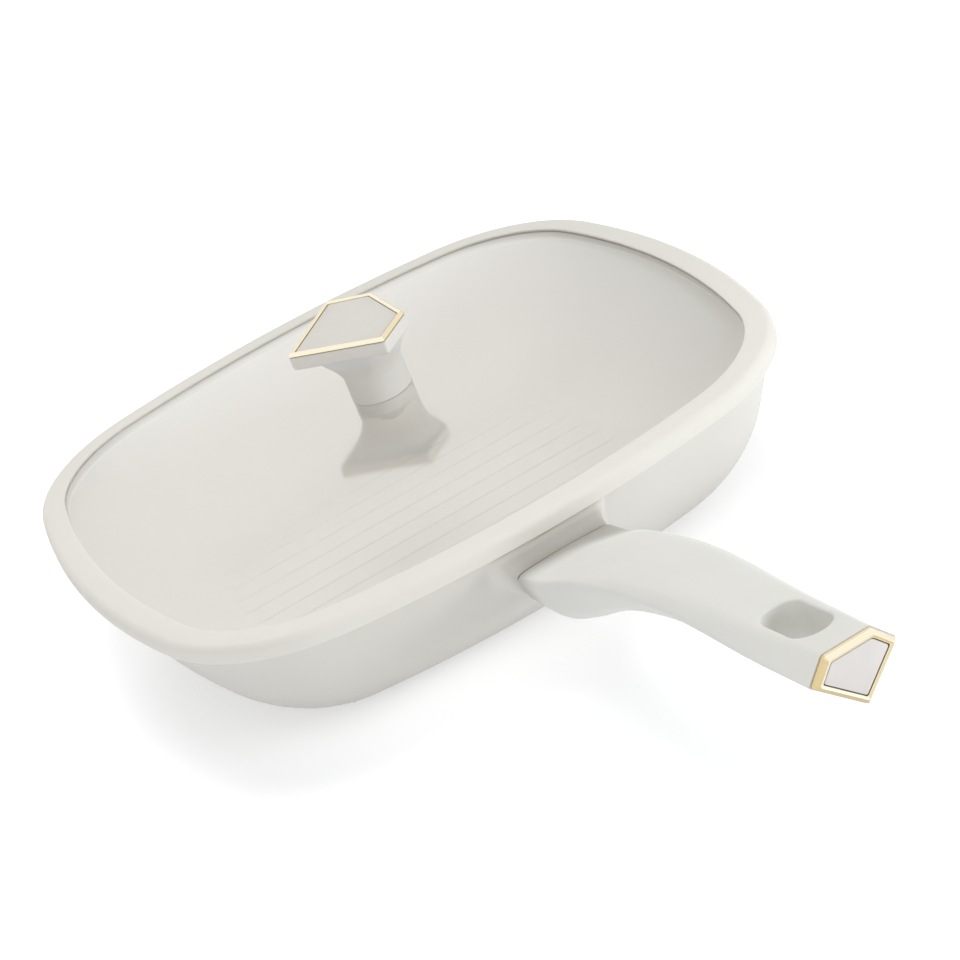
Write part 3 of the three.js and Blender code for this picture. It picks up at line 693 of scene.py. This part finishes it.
def grown(name, source, sizes, build, finish):
    """Runs a geometry tree with named sizes on a mesh and keeps the result as a plain piece."""
    tree = bpy.data.node_groups.new(name, "GeometryNodeTree")
    bench = Bench(tree)
    tree.interface.new_socket("Geometry", in_out="OUTPUT", socket_type="NodeSocketGeometry")
    tree.interface.new_socket("Geometry", in_out="INPUT", socket_type="NodeSocketGeometry")
    kinds = {int: "NodeSocketInt", float: "NodeSocketFloat"}
    for key, value in sizes.items():
        tree.interface.new_socket(key, in_out="INPUT", socket_type=kinds[type(value)])
    given = tree.nodes.new("NodeGroupInput")
    wires = {key: Wire(bench, given.outputs[key]) for key in sizes}
    shape = build(bench, Wire(bench, given.outputs["Geometry"]), wires)
    shape = bench.add("GeometryNodeRealizeInstances", values={0: shape})
    shape = bench.add("GeometryNodeSetMaterial", values={"Geometry": shape, "Material": finish})
    bench.add("NodeGroupOutput", values={0: shape})
    holder = bpy.data.objects.new(name, source)
    bpy.context.scene.collection.objects.link(holder)
    growth = holder.modifiers.new(name, "NODES")
    growth.node_group = tree
    for item in tree.interface.items_tree:
        if item.in_out == "INPUT" and item.name in sizes:
            growth[item.identifier] = sizes[item.name]
    ready = holder.evaluated_get(bpy.context.evaluated_depsgraph_get())
    plain = bpy.data.meshes.new_from_object(ready)
    bpy.data.objects.remove(holder)
    piece = bpy.data.objects.new(name, plain)
    bpy.context.scene.collection.objects.link(piece)
    tidy(piece, 50)
    return piece


def point(bench, x=0.0, y=0.0, z=0.0):
    return bench.add("ShaderNodeCombineXYZ", values={0: x, 1: y, 2: z})


def rib_tree(bench, cavity, size):
    """Drafted ribs side by side, each as long as the cavity lets it be at the ribs' height."""
    first = 0.0 - size["Pitch"] * size["Ribs each side"]
    rows = bench.add("GeometryNodeMeshLine", {"mode": "OFFSET"}, {
        "Count": 2 * size["Ribs each side"] + 1,
        "Start Location": point(bench, y=first, z=size["Floor"]),
        "Offset": point(bench, y=size["Pitch"]),
    })
    at = bench.add("GeometryNodeInputPosition")
    rise = point(bench, z=size["Height"])
    above = bench.add("ShaderNodeVectorMath", {"operation": "ADD"}, {0: at, 1: rise})
    reach = bench.add("GeometryNodeRaycast", values={
        "Target Geometry": cavity, "Source Position": above,
        "Ray Direction": (1, 0, 0), "Ray Length": 1.0,
    }, out="Hit Distance") - size["End margin"]
    rows = bench.add("GeometryNodeStoreNamedAttribute", {"data_type": "FLOAT"}, {
        "Geometry": rows, "Name": "reach", "Value": reach,
    })
    line = bench.add("GeometryNodeCurvePrimitiveLine", values={"Start": (-1, 0, 0), "End": (1, 0, 0)})
    line = bench.add("GeometryNodeResampleCurve", values={"Curve": line, "Count": 81})
    x = bench.add("ShaderNodeSeparateXYZ", values={0: at})
    line = bench.add("GeometryNodeSetPosition", values={
        "Geometry": line, "Position": point(bench, x.sum("SINE", x * (math.pi / 2))),
    })
    kept = bench.add("GeometryNodeInputNamedAttribute", {"data_type": "FLOAT"}, {"Name": "reach"})
    ribs = bench.add("GeometryNodeInstanceOnPoints", values={
        "Points": rows, "Instance": line, "Scale": point(bench, kept, 1.0, 1.0),
    })
    ribs = bench.add("GeometryNodeRealizeInstances", values={0: ribs})
    inward = (kept - abs(x)) / (size["Foot width"] * 0.75)
    rest = 1.0 - inward.sum("MINIMUM", inward, 1.0)
    swell = (1.0 - rest * rest).sum("MAXIMUM", 1.0 - rest * rest, 0.0001) ** 0.5
    ribs = bench.add("GeometryNodeSetCurveRadius", values={"Curve": ribs, "Radius": swell})
    ribs = bench.add("GeometryNodeSetCurveNormal", {"mode": "Z_UP"}, {"Curve": ribs})
    lean = (size["Foot width"] - size["Top width"]) / size["Height"]
    outline = bench.add("GeometryNodeCurvePrimitiveQuadrilateral", {"mode": "TRAPEZOID"}, {
        "Bottom Width": size["Foot width"] + lean * size["Sink"],
        "Top Width": size["Top width"],
        "Height": size["Height"] + size["Sink"],
        "Offset": 0.0,
    })
    outline = bench.add("GeometryNodeFilletCurve", {"mode": "POLY"}, {
        "Curve": outline, "Count": 5, "Radius": size["Edge radius"], "Limit Radius": True,
    })
    outline = bench.add("GeometryNodeTransform", values={
        "Geometry": outline, "Translation": point(bench, y=(size["Height"] - size["Sink"]) * 0.5),
    })
    return bench.add("GeometryNodeCurveToMesh", values={
        "Curve": ribs, "Profile Curve": outline, "Fill Caps": True,
    })


def stud_tree(bench, stud, size):
    """One turned stud at each place of a square grid but its middle."""
    grid = bench.add("GeometryNodeMeshGrid", values={
        "Size X": 2.0 * size["Pitch"], "Size Y": 2.0 * size["Pitch"],
        "Vertices X": 3, "Vertices Y": 3,
    })
    away = bench.add("ShaderNodeVectorMath", {"operation": "LENGTH"}, {
        0: bench.add("GeometryNodeInputPosition"),
    }, out="Value")
    outer = bench.add("FunctionNodeCompare", {"operation": "GREATER_THAN"}, {
        0: away, 1: size["Pitch"] * 0.5,
    })
    return bench.add("GeometryNodeInstanceOnPoints", values={
        "Points": grid, "Selection": outer, "Instance": stud,
    })


# Pan


def wall_profile(start, bottom, radius, steps=22):
    """Insets and heights of one side of the wall, from the flat bottom to where it runs straight."""
    for k in range(steps + 1):
        angle = math.pi / 2 * (1 - k / steps)
        z = bottom + radius * (1 - math.sin(angle))
        lean = WALL_DRAFT * (1 - z / PAN_HEIGHT)
        yield start + lean + radius * (1 - math.cos(angle)), z


def pan_casting():
    """Bowl with a pocket for the base plate, rounded at its brim, with the handle's lug on its wall."""
    inner = WALL_SETBACK + WALL_THICKNESS
    pocket = PLATE_INSET - PLATE_GAP
    outside = [(pocket, PLATE_THICKNESS), (pocket, POCKET_CHAMFER), (pocket - POCKET_CHAMFER, 0)]
    outside += wall_profile(WALL_SETBACK, 0, BOTTOM_RADIUS)
    inside = list(wall_profile(inner, FLOOR_THICKNESS, BOTTOM_RADIUS - WALL_THICKNESS))
    for a, b in quarter_round():
        z = PAN_HEIGHT - RIM_EDGE * (1 - b)
        outside.append((WALL_SETBACK + RIM_EDGE * a, z))
        inside.append((inner - RIM_EDGE * a, z))
    inside += [(inner - RIM_EDGE, PAN_HEIGHT + CUTTER_OVERRUN)]
    bowl, cavity = (
        make(name, *skin([level(inset, z) for inset, z in rows]))
        for name, rows in (("pan_casting", outside), ("cavity", inside))
    )
    return joined_and_cut(bowl, [handle_lug()], [cavity])


def handle_corners(s):
    """The handle's section at a share of its length, its top rising to the middle."""
    top = HANDLE_ROOT_TOP + HANDLE_RISE * through(STATIONS, RISE, s)
    half = END_HALF + (ROOT_HALF - END_HALF) * through(STATIONS, WIDTH, s)
    depth = END_DEPTH * through(STATIONS, DEPTH, s)
    shoulder = END_SHOULDER * through(STATIONS, SHOULDER, s)
    flat = half * through(STATIONS, TOP_WIDTH, s)
    flat_z = top - HANDLE_CROWN * through(STATIONS, CROWN, s)
    low_x = half * through(STATIONS, LOW_WIDTH, s)
    low_z = top - depth * through(STATIONS, LOW_DEPTH, s)
    right = [Vector((low_x, low_z)), Vector((half, top - shoulder)), Vector((flat, flat_z))]
    left = [Vector((-p.x, p.y)) for p in reversed(right)]
    return [*right, Vector((0, top)), *left, Vector((0, top - depth))]


def handle_section(s):
    cut = END_CUT + (ROOT_CUT - END_CUT) * through(STATIONS, CUT, s)
    return soft_corners(handle_corners(s), cut)


def outer_face(x, z):
    """Y of the wall's outer face on the handle's side."""
    turn = math.sqrt(1 - (1 - min(z / BOTTOM_RADIUS, 1)) ** 2)
    inset = WALL_SETBACK + WALL_DRAFT * (1 - z / PAN_HEIGHT) + BOTTOM_RADIUS * (1 - turn)
    radius = LONG_SIDE_RADIUS - inset
    return radius + inset - LID_HALF_WIDTH - math.sqrt(radius**2 - x**2)


def handle_lug():
    """Cast boss that grows out of the wall to the handle's face, with a fillet at the wall."""
    corners = handle_corners(0)
    outline = soft_corners(corners, ROOT_CUT)
    heights = [p.y for p in corners]
    middle, half = (max(heights) + min(heights)) / 2, (max(heights) - min(heights)) / 2

    def ring(swell, share, sink):
        loop = []
        for p in outline:
            x = p.x * (1 + swell / ROOT_HALF)
            z = min(middle + (p.y - middle) * (1 + swell / half), LUG_TOP)
            loop.append((x, FACE_Y + (outer_face(x, z) + sink - FACE_Y) * share, z))
        return loop

    loops = [ring(LUG_SWELL, 1, WALL_THICKNESS / 2)]
    for k in range(LUG_STEPS + 1):
        angle = math.pi / 2 * (1 - k / LUG_STEPS)
        along, off = math.sin(angle), math.cos(angle)
        loops.append(ring(LUG_SWELL * (1 - off) - LUG_EDGE_INSET * (1 - along), along, LUG_SINK))
    return make("handle_lug", *skin(loops))


# Handle


def stadium(width, length, middle, steps=24):
    """Outline with two round ends, as X and Y."""
    loop = []
    for side in (1, -1):
        centre = middle + side * (length - width) / 2
        for k in range(steps + 1):
            angle = math.pi * k / steps + (0 if side > 0 else math.pi)
            loop.append((width / 2 * math.cos(angle), centre + width / 2 * math.sin(angle)))
    return loop


def underside(s, x):
    """Height of the handle's lower face at a share of its length and a place across it."""
    corners = handle_corners(s)
    low, keel = corners[0], corners[-1]
    return keel.y + (low.y - keel.y) * min(abs(x) / low.x, 1)


def slot_cutter():
    """The hang slot's inside, leaning and narrower below, its mouths rounding over onto the faces."""
    middle = END_Y + SLOT_SETBACK - SLOT_BLUNT / 2
    reach = 0.94
    beyond = 4

    def ring(grow, height, low=False):
        draft = SLOT_DRAFT if low else 0
        place = middle - draft / 2 - (SLOT_LEAN if low else 0)
        length = SLOT_LENGTH - SLOT_BLUNT + 2 * grow - draft
        loop = stadium(SLOT_WIDTH + 2 * grow - draft / 2, length, place)
        return [(x, y, height((FACE_Y - y) / HANDLE_LENGTH, x)) for x, y in loop]

    def lower_ring(grow, rise):
        return ring(grow, lambda s, x: underside(s, x) + rise, True)

    def upper_ring(grow, drop):
        return ring(grow, lambda s, x: handle_corners(s)[2].y - drop)

    loops = [lower_ring(SLOT_ROUND + 1, -beyond)]
    shares = list(quarter_round(7))[:-1]
    loops += [lower_ring(SLOT_ROUND * a, SLOT_ROUND * (reach - b)) for a, b in reversed(shares)]
    loops += [upper_ring(SLOT_ROUND * a, SLOT_ROUND * (reach - b)) for a, b in shares]
    loops.append(upper_ring(SLOT_ROUND + 1, -beyond))
    return make("slot_cutter", *skin(loops))


def turned(name, profile, middle=(0, 0), steps=96):
    """A piece turned from pairs of radius and height, from the axis back to the axis."""
    loops = []
    for radius, z in profile:
        angles = (2 * math.pi * k / steps for k in range(steps))
        loops.append([
            (middle[0] + radius * math.cos(a), middle[1] + radius * math.sin(a), z) for a in angles
        ])
    return make(name, *skin(loops, caps=False))


def handle_body(steps=110):
    """The lofted moulding, with a groove where it meets the lug, the hang slot and the screw's well."""
    root = handle_section(0)
    middle = sum(root, Vector((0, 0))) / len(root)
    narrow = [middle + (p - middle) * (1 - JOINT_DEPTH / ROOT_HALF) for p in root]
    loops = [[(p.x, y, p.y) for p in loop] for loop, y in (
        (narrow, FACE_Y), (narrow, FACE_Y - JOINT_WIDTH / 2), (root, FACE_Y - JOINT_WIDTH),
    )]
    for k in range(1, steps + 1):
        s = k / steps
        loops.append([(p.x, FACE_Y - HANDLE_LENGTH * s, p.y) for p in handle_section(s)])
    body = make("handle_body_moulding", *skin(loops))
    well = [(0, 0), (SCREW_WELL_RADIUS, 0), (SCREW_WELL_RADIUS, SCREW_WELL_TOP), (0, SCREW_WELL_TOP)]
    well = turned("screw_well", well, (0, FACE_Y - SCREW_SETBACK))
    return joined_and_cut(body, removed=[slot_cutter(), well])


# Frames and inlays


def frame_ring(name, corners, height, stand, light, dip=0.5, bevel=1.1, foot=0.35):
    """Five-sided frame: a fine groove at its foot, a broad outer bevel and a face that dips inwards."""
    profile = [(foot, 0), (foot, foot), (0, foot + 0.06)]
    profile += [(0, height - bevel - 0.2), (0.06, height - bevel - 0.05)]
    profile += [(bevel, height - 0.04), (bevel + 0.1, height)]
    profile += [(TRIM_WIDTH - 0.25, height - dip), (TRIM_WIDTH - 0.08, height - dip - 0.03)]
    profile += [(TRIM_WIDTH, height - dip - 0.15), (TRIM_WIDTH, 0)]
    loops = [stand(soft_corners(inset_corners(corners, inset), TRIM_CUT), h) for inset, h in profile]
    ring = make(name, *skin(loops, ring=True), 22)
    # Painted reflection and shade for the gold: how far each face turns away from a set light, with the
    # foot groove's faces at full for a painted shadow
    side = ring.data.attributes.new("side", "FLOAT", "FACE")
    lit = [face.normal.dot(light) for face in ring.data.polygons]
    depths = [min(max(FRAME_FALL * (FRAME_BRIGHT - value), 0), 0.85) for value in lit]
    groove = 2 * len(loops[0])
    depths[:groove] = [1] * groove
    side.data.foreach_set("value", depths)
    return ring


def inlay_plate(name, corners, thickness, stand, edge=0.25):
    rows = [(0, 0), (0, thickness - edge), (edge * 0.3, thickness - edge * 0.3), (edge, thickness)]
    base = TRIM_WIDTH + BADGE_GAP
    loops = [stand(soft_corners(inset_corners(corners, base + a), TRIM_CUT), h) for a, h in rows]
    return make(name, *skin(loops), 22)


def end_corners():
    flat = END_HALF * TOP_WIDTH[-1]
    shape = [(flat, 0), (-flat, 0), (-END_HALF, -END_SHOULDER), (0, -END_DEPTH)]
    shape += [(END_HALF, -END_SHOULDER)]
    return inset_corners([Vector(p) for p in shape], END_TRIM_LEDGE)


def at_end(loop, h):
    top = HANDLE_ROOT_TOP + HANDLE_RISE
    return [(p.x, END_Y - h, top + p.y) for p in loop]


def on_knob(loop, h):
    return [(KNOB_REACH + p.y, -p.x, KNOB_SEAT_Z + h) for p in loop]


# Lid


def lid_rim():
    """Soft rim: skirt, rounded edge, crowned top, lip over the glass, groove and seat."""
    groove = RIM_WIDTH - GLASS_HIDDEN - GLASS_EDGE_GAP
    rows = [(SKIRT_THICKNESS, SKIRT_BOTTOM_Z + 0.2), (SKIRT_THICKNESS - 0.2, SKIRT_BOTTOM_Z)]
    rows += [(SKIRT_ROUND * (1 - b), SKIRT_BOTTOM_Z + SKIRT_ROUND * a) for a, b in quarter_round(4)]
    rows += [(RIM_ROUND * a, SKIRT_TOP_Z + RIM_ROUND * b) for a, b in quarter_round(9)]
    span = RIM_WIDTH - RIM_ROUND - LIP_ROUND
    for k in range(1, 7):
        share = k / 6
        crown = RIM_CROWN * (1 - (1 - share) ** 2)
        rows.append((RIM_ROUND + span * share, SKIRT_TOP_Z + RIM_ROUND + crown))
    rows += [(RIM_WIDTH - LIP_ROUND * (1 - b), RIM_TOP_Z - LIP_ROUND * a) for a, b in quarter_round(4)]
    rows += [(RIM_WIDTH, GLASS_EDGE_Z), (groove, GLASS_EDGE_Z), (groove, GLASS_BOTTOM_Z)]
    rows += [(RIM_WIDTH, GLASS_BOTTOM_Z)]
    for a, b in quarter_round(4):
        rows.append((RIM_WIDTH - SEAT_ROUND * a, LID_SEAT_Z + SEAT_ROUND * (1 - b)))
    rows += [(SKIRT_THICKNESS, LID_SEAT_Z)]
    return make("lid_rim_moulding", *skin([level(inset, z) for inset, z in rows], ring=True))


def glass_dome():
    """Domed glass with a flat middle, a flat edge in the rim's groove and a ground hole."""
    edge = rounded_square(RIM_WIDTH)
    flat = [p.normalized() * GLASS_FLAT for p in edge]
    hidden = RIM_WIDTH - GLASS_HIDDEN

    def circle(radius, z):
        return [(*(p.normalized() * radius), z) for p in edge]

    def face(drop, steps=26):
        radii = (GLASS_HOLE + GLASS_GRIND, GLASS_SEAT_RADIUS)
        loops = [circle(radius, GLASS_TOP_Z - drop) for radius in radii]
        for k in range(steps + 1):
            share = k / steps
            z = GLASS_EDGE_Z + GLASS_RISE * (1 - share**2) - drop
            loops.append([(*p.lerp(q, share), z) for p, q in zip(flat, edge)])
        return [*loops, level(hidden + GLASS_GRIND, GLASS_EDGE_Z - drop)]

    under = GLASS_TOP_Z - GLASS_THICKNESS
    hole = [circle(GLASS_HOLE, under + GLASS_GRIND), circle(GLASS_HOLE, GLASS_TOP_Z - GLASS_GRIND)]
    brink = [level(hidden, GLASS_EDGE_Z - GLASS_GRIND), level(hidden, GLASS_BOTTOM_Z + GLASS_GRIND)]
    loops = [*hole, *face(0), *brink, *reversed(face(GLASS_THICKNESS))]
    return make("glass_dome", *skin(loops, ring=True), 25)


def knob_body():
    """Five-sided plate on a round stem that spreads into its underside."""
    corners = [Vector(p) for p in KNOB_CORNERS]
    plate_bottom = KNOB_SEAT_Z - KNOB_PLATE

    def outline(inset):
        loop = soft_corners(inset_corners(corners, inset), KNOB_CUT, 8)
        return [Vector((KNOB_REACH + p.y, -p.x)) for p in loop]

    def reach(loop, ray):
        for i, b in enumerate(loop):
            a = loop[i - 1]
            before, after = ray.cross(a), ray.cross(b)
            if before <= 0 < after:
                return a.lerp(b, before / (before - after)).length
        return 0

    edge, under = outline(0), outline(KNOB_CHAMFER)
    corner_angles = {round(math.atan2(p.y, p.x), 6) for p in edge}
    angles = sorted(corner_angles | {math.pi * k / 60 for k in range(-59, 61)})
    rays = [Vector((math.cos(a), math.sin(a))) for a in angles]
    foot = [STEM_RADIUS + min(STEM_FLARE, reach(under, ray) - STEM_RADIUS - 0.5) for ray in rays]

    def loop_at(lengths, z):
        return [(ray.x * length, ray.y * length, z) for ray, length in zip(rays, lengths)]

    loops = [loop_at([STEM_RADIUS - STEM_EDGE] * len(rays), GLASS_TOP_Z)]
    loops.append(loop_at([STEM_RADIUS] * len(rays), GLASS_TOP_Z + STEM_EDGE))
    drops = tuple(reversed(FLARE_DROP))
    spreads = tuple(reversed(FLARE_SPREAD))
    steps = 24
    for k in range(steps + 1):
        drop = 1 - k / steps
        share = max(through(drops, spreads, drop), 0)
        lengths = [STEM_RADIUS + (length - STEM_RADIUS) * share for length in foot]
        loops.append(loop_at(lengths, plate_bottom - FLARE_HEIGHT * drop))
    for share in (0.5, 1):
        lengths = [length + (reach(under, ray) - length) * share for length, ray in zip(foot, rays)]
        loops.append(loop_at(lengths, plate_bottom))
    for a, b in quarter_round(5):
        ring = outline(KNOB_CHAMFER * (1 - b))
        loops.append(loop_at([reach(ring, ray) for ray in rays], plate_bottom + KNOB_CHAMFER * a))
    lengths = [reach(edge, ray) for ray in rays]
    loops.append(loop_at(lengths, KNOB_SEAT_Z - KNOB_EDGE))
    loops.append(loop_at([length - KNOB_EDGE for length in lengths], KNOB_SEAT_Z))
    return make("knob_moulding", *skin(loops))


# Assembly

casting = settle(pan_casting(), COAT, "pan", "ceramic_coat", "pan_body")
ribs = grown("grill_ribs", casting.data, {
    "Ribs each side": RIBS_EACH_SIDE,
    "Pitch": RIB_PITCH * MM,
    "Foot width": RIB_FOOT * MM,
    "Top width": RIB_TOP * MM,
    "Height": RIB_HEIGHT * MM,
    "Floor": FLOOR_THICKNESS * MM,
    "End margin": RIB_MARGIN * MM,
    "Sink": RIB_SINK * MM,
    "Edge radius": RIB_ROUND * MM,
}, rib_tree, COAT)
settle(ribs, COAT, "pan", "ceramic_coat", "pan_body")
stud = turned("stud_shape", [
    (0, PLATE_THICKNESS), (STUD_RADIUS, PLATE_THICKNESS), (STUD_RADIUS, 0.35),
    (STUD_RADIUS - 0.1, 0.12), (STUD_RADIUS - 0.4, 0.02), (0, 0),
], steps=40)
studs = grown("base_studs", stud.data, {"Pitch": STUD_PITCH * MM}, stud_tree, COAT)
bpy.data.objects.remove(stud)
settle(studs, COAT, "pan", "ceramic_coat", "pan_body")

settle(handle_body(), HANDLE_PAINT, "pan", "soft_touch", "handle_body")
end_shape = end_corners()
end_frame = frame_ring("end_frame", end_shape, END_TRIM_DEPTH, at_end, END_FRAME_LIGHT, 0.35, 1.3, 0.12)
settle(end_frame, GOLD, "pan", "gold_trim", "handle_end_trim")
end_inlay = inlay_plate("end_inlay", end_shape, END_BADGE_THICKNESS, at_end)
settle(end_inlay, END_INLAY_LIT, "pan", "inlay", "handle_end_badge")

settle(lid_rim(), RUBBER, "lid", "rim_silicone", "lid_rim")
settle(glass_dome(), GLASS, "lid", "glass", "glass_panel")
settle(knob_body(), KNOB_PAINT, "lid", "soft_touch", "knob_body")
knob_shape = [Vector(p) for p in KNOB_CORNERS]
knob_frame = frame_ring("knob_frame", knob_shape, KNOB_TRIM_HEIGHT, on_knob, KNOB_FRAME_LIGHT)
settle(knob_frame, GOLD, "lid", "gold_trim", "knob_trim")
knob_inlay = inlay_plate("knob_inlay", knob_shape, KNOB_BADGE_THICKNESS, on_knob)
settle(knob_inlay, KNOB_INLAY_SHADED, "lid", "inlay", "knob_badge")

for node, finish in {
    "induction_plate": BASE_STEEL,
    "handle_screw": FIXING_STEEL,
    "handle_lock_washer": FIXING_STEEL,
    "knob_screw": FIXING_STEEL,
    "knob_washer": FIXING_STEEL,
    "knob_spring_washer": FIXING_STEEL,
    "knob_insert": BRASS,
    "knob_seat": HIDDEN_RUBBER,
    "knob_gasket": HIDDEN_RUBBER,
}.items():
    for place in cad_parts[node].material_slots:
        place.material = finish


# Stage, light and camera


def floor_finish():
    """White floor that keeps the object's shadow and meets the white background."""
    floor = Finish("studio_floor")
    matt = floor.add("ShaderNodeBsdfDiffuse", values={"Color": (0.93, 0.94, 0.955, 1)})
    strength = FLOOR_GLOW + FLOOR_SEEN_GLOW * floor.ray("Camera")
    glow = floor.add("ShaderNodeEmission", values={"Strength": strength})
    return floor.end(floor.add("ShaderNodeAddShader", values={0: matt, 1: glow}))


def studio_floor(size=3000, drop=0.4):
    corners = [(x * size, y * size, -drop) for x, y in ((-1, -1), (1, -1), (1, 1), (-1, 1))]
    floor = make("studio_floor", corners, [(0, 1, 2, 3)])
    floor.data.materials.append(floor_finish())


def studio_world():
    """Even soft light, and plain white where the camera, metal and glass look at it."""
    world = bpy.data.worlds.new("studio")
    world.use_nodes = True
    bpy.context.scene.world = world
    bench = Bench(world.node_tree)
    seen = bench.ray("Camera") + bench.ray("Glossy") + bench.ray("Transmission")
    strength = SKY_LIGHT + (1 - SKY_LIGHT) * seen.sum("MINIMUM", seen, 1.0)
    sky = bench.add("ShaderNodeBackground", values={"Color": (1, 1, 1, 1), "Strength": strength})
    bench.add("ShaderNodeOutputWorld", values={"Surface": sky})


def area_lamp(name, place, aim, width, height, power, colour=(1, 1, 1)):
    data = bpy.data.lights.new(name, "AREA")
    data.shape, data.size, data.size_y, data.energy = "RECTANGLE", width, height, power
    data.color = colour
    lamp = bpy.data.objects.new(name, data)
    bpy.context.scene.collection.objects.link(lamp)
    turn = (Vector(aim) - Vector(place)).to_track_quat("-Z", "Y")
    lamp.matrix_world = Matrix.Translation(place) @ turn.to_matrix().to_4x4()
    lamp.visible_camera = False
    lamp.visible_glossy = False


def photo_camera():
    """Camera at the photograph's angle, from its azimuth, elevation, roll, offsets and distance."""
    azimuth, elevation, roll = (math.radians(a) for a in CAMERA_ANGLES)
    outward = Vector((math.sin(azimuth), -math.cos(azimuth), 0))
    back = outward * math.cos(elevation) + Vector((0, 0, math.sin(elevation)))
    level_right = Vector((math.cos(azimuth), math.sin(azimuth), 0))
    level_up = back.cross(level_right)
    right = level_right * math.cos(roll) + level_up * math.sin(roll)
    up = level_up * math.cos(roll) - level_right * math.sin(roll)
    place = right * CAMERA_SHIFT[0] + up * CAMERA_SHIFT[1] + back * CAMERA_DISTANCE + Vector(CAMERA_AIM)
    data = bpy.data.cameras.new("photo_camera")
    data.lens, data.sensor_width, data.clip_start = CAMERA_LENS, 36, 0.05
    camera = bpy.data.objects.new("photo_camera", data)
    bpy.context.scene.collection.objects.link(camera)
    camera.matrix_world = Matrix.Translation(place) @ Matrix((right, up, back)).transposed().to_4x4()
    bpy.context.scene.camera = camera


studio_floor()
studio_world()
area_lamp("top_lamp", (0.2, 0.2, 2), LAMP_AIM, 1.2, 1.2, 15.2)
area_lamp("back_lamp", (0, 1.7, 1.3), LAMP_AIM, 1, 0.8, 10.9)
area_lamp("front_lamp", (-0.2, -1.5, 1.6), (0, -0.05, 0.05), 1.2, 0.9, 4.6)
area_lamp("low_right_lamp", (1.43, -1.14, 0.42), LAMP_AIM, 1, 0.6, 16, (0.95, 0.985, 1))
area_lamp("left_lamp", (-1.5, -1.1, 0.62), (0, -0.1, 0.05), 1.2, 0.8, 7)
photo_camera()
bpy.context.scene.view_settings.view_transform = "Standard"
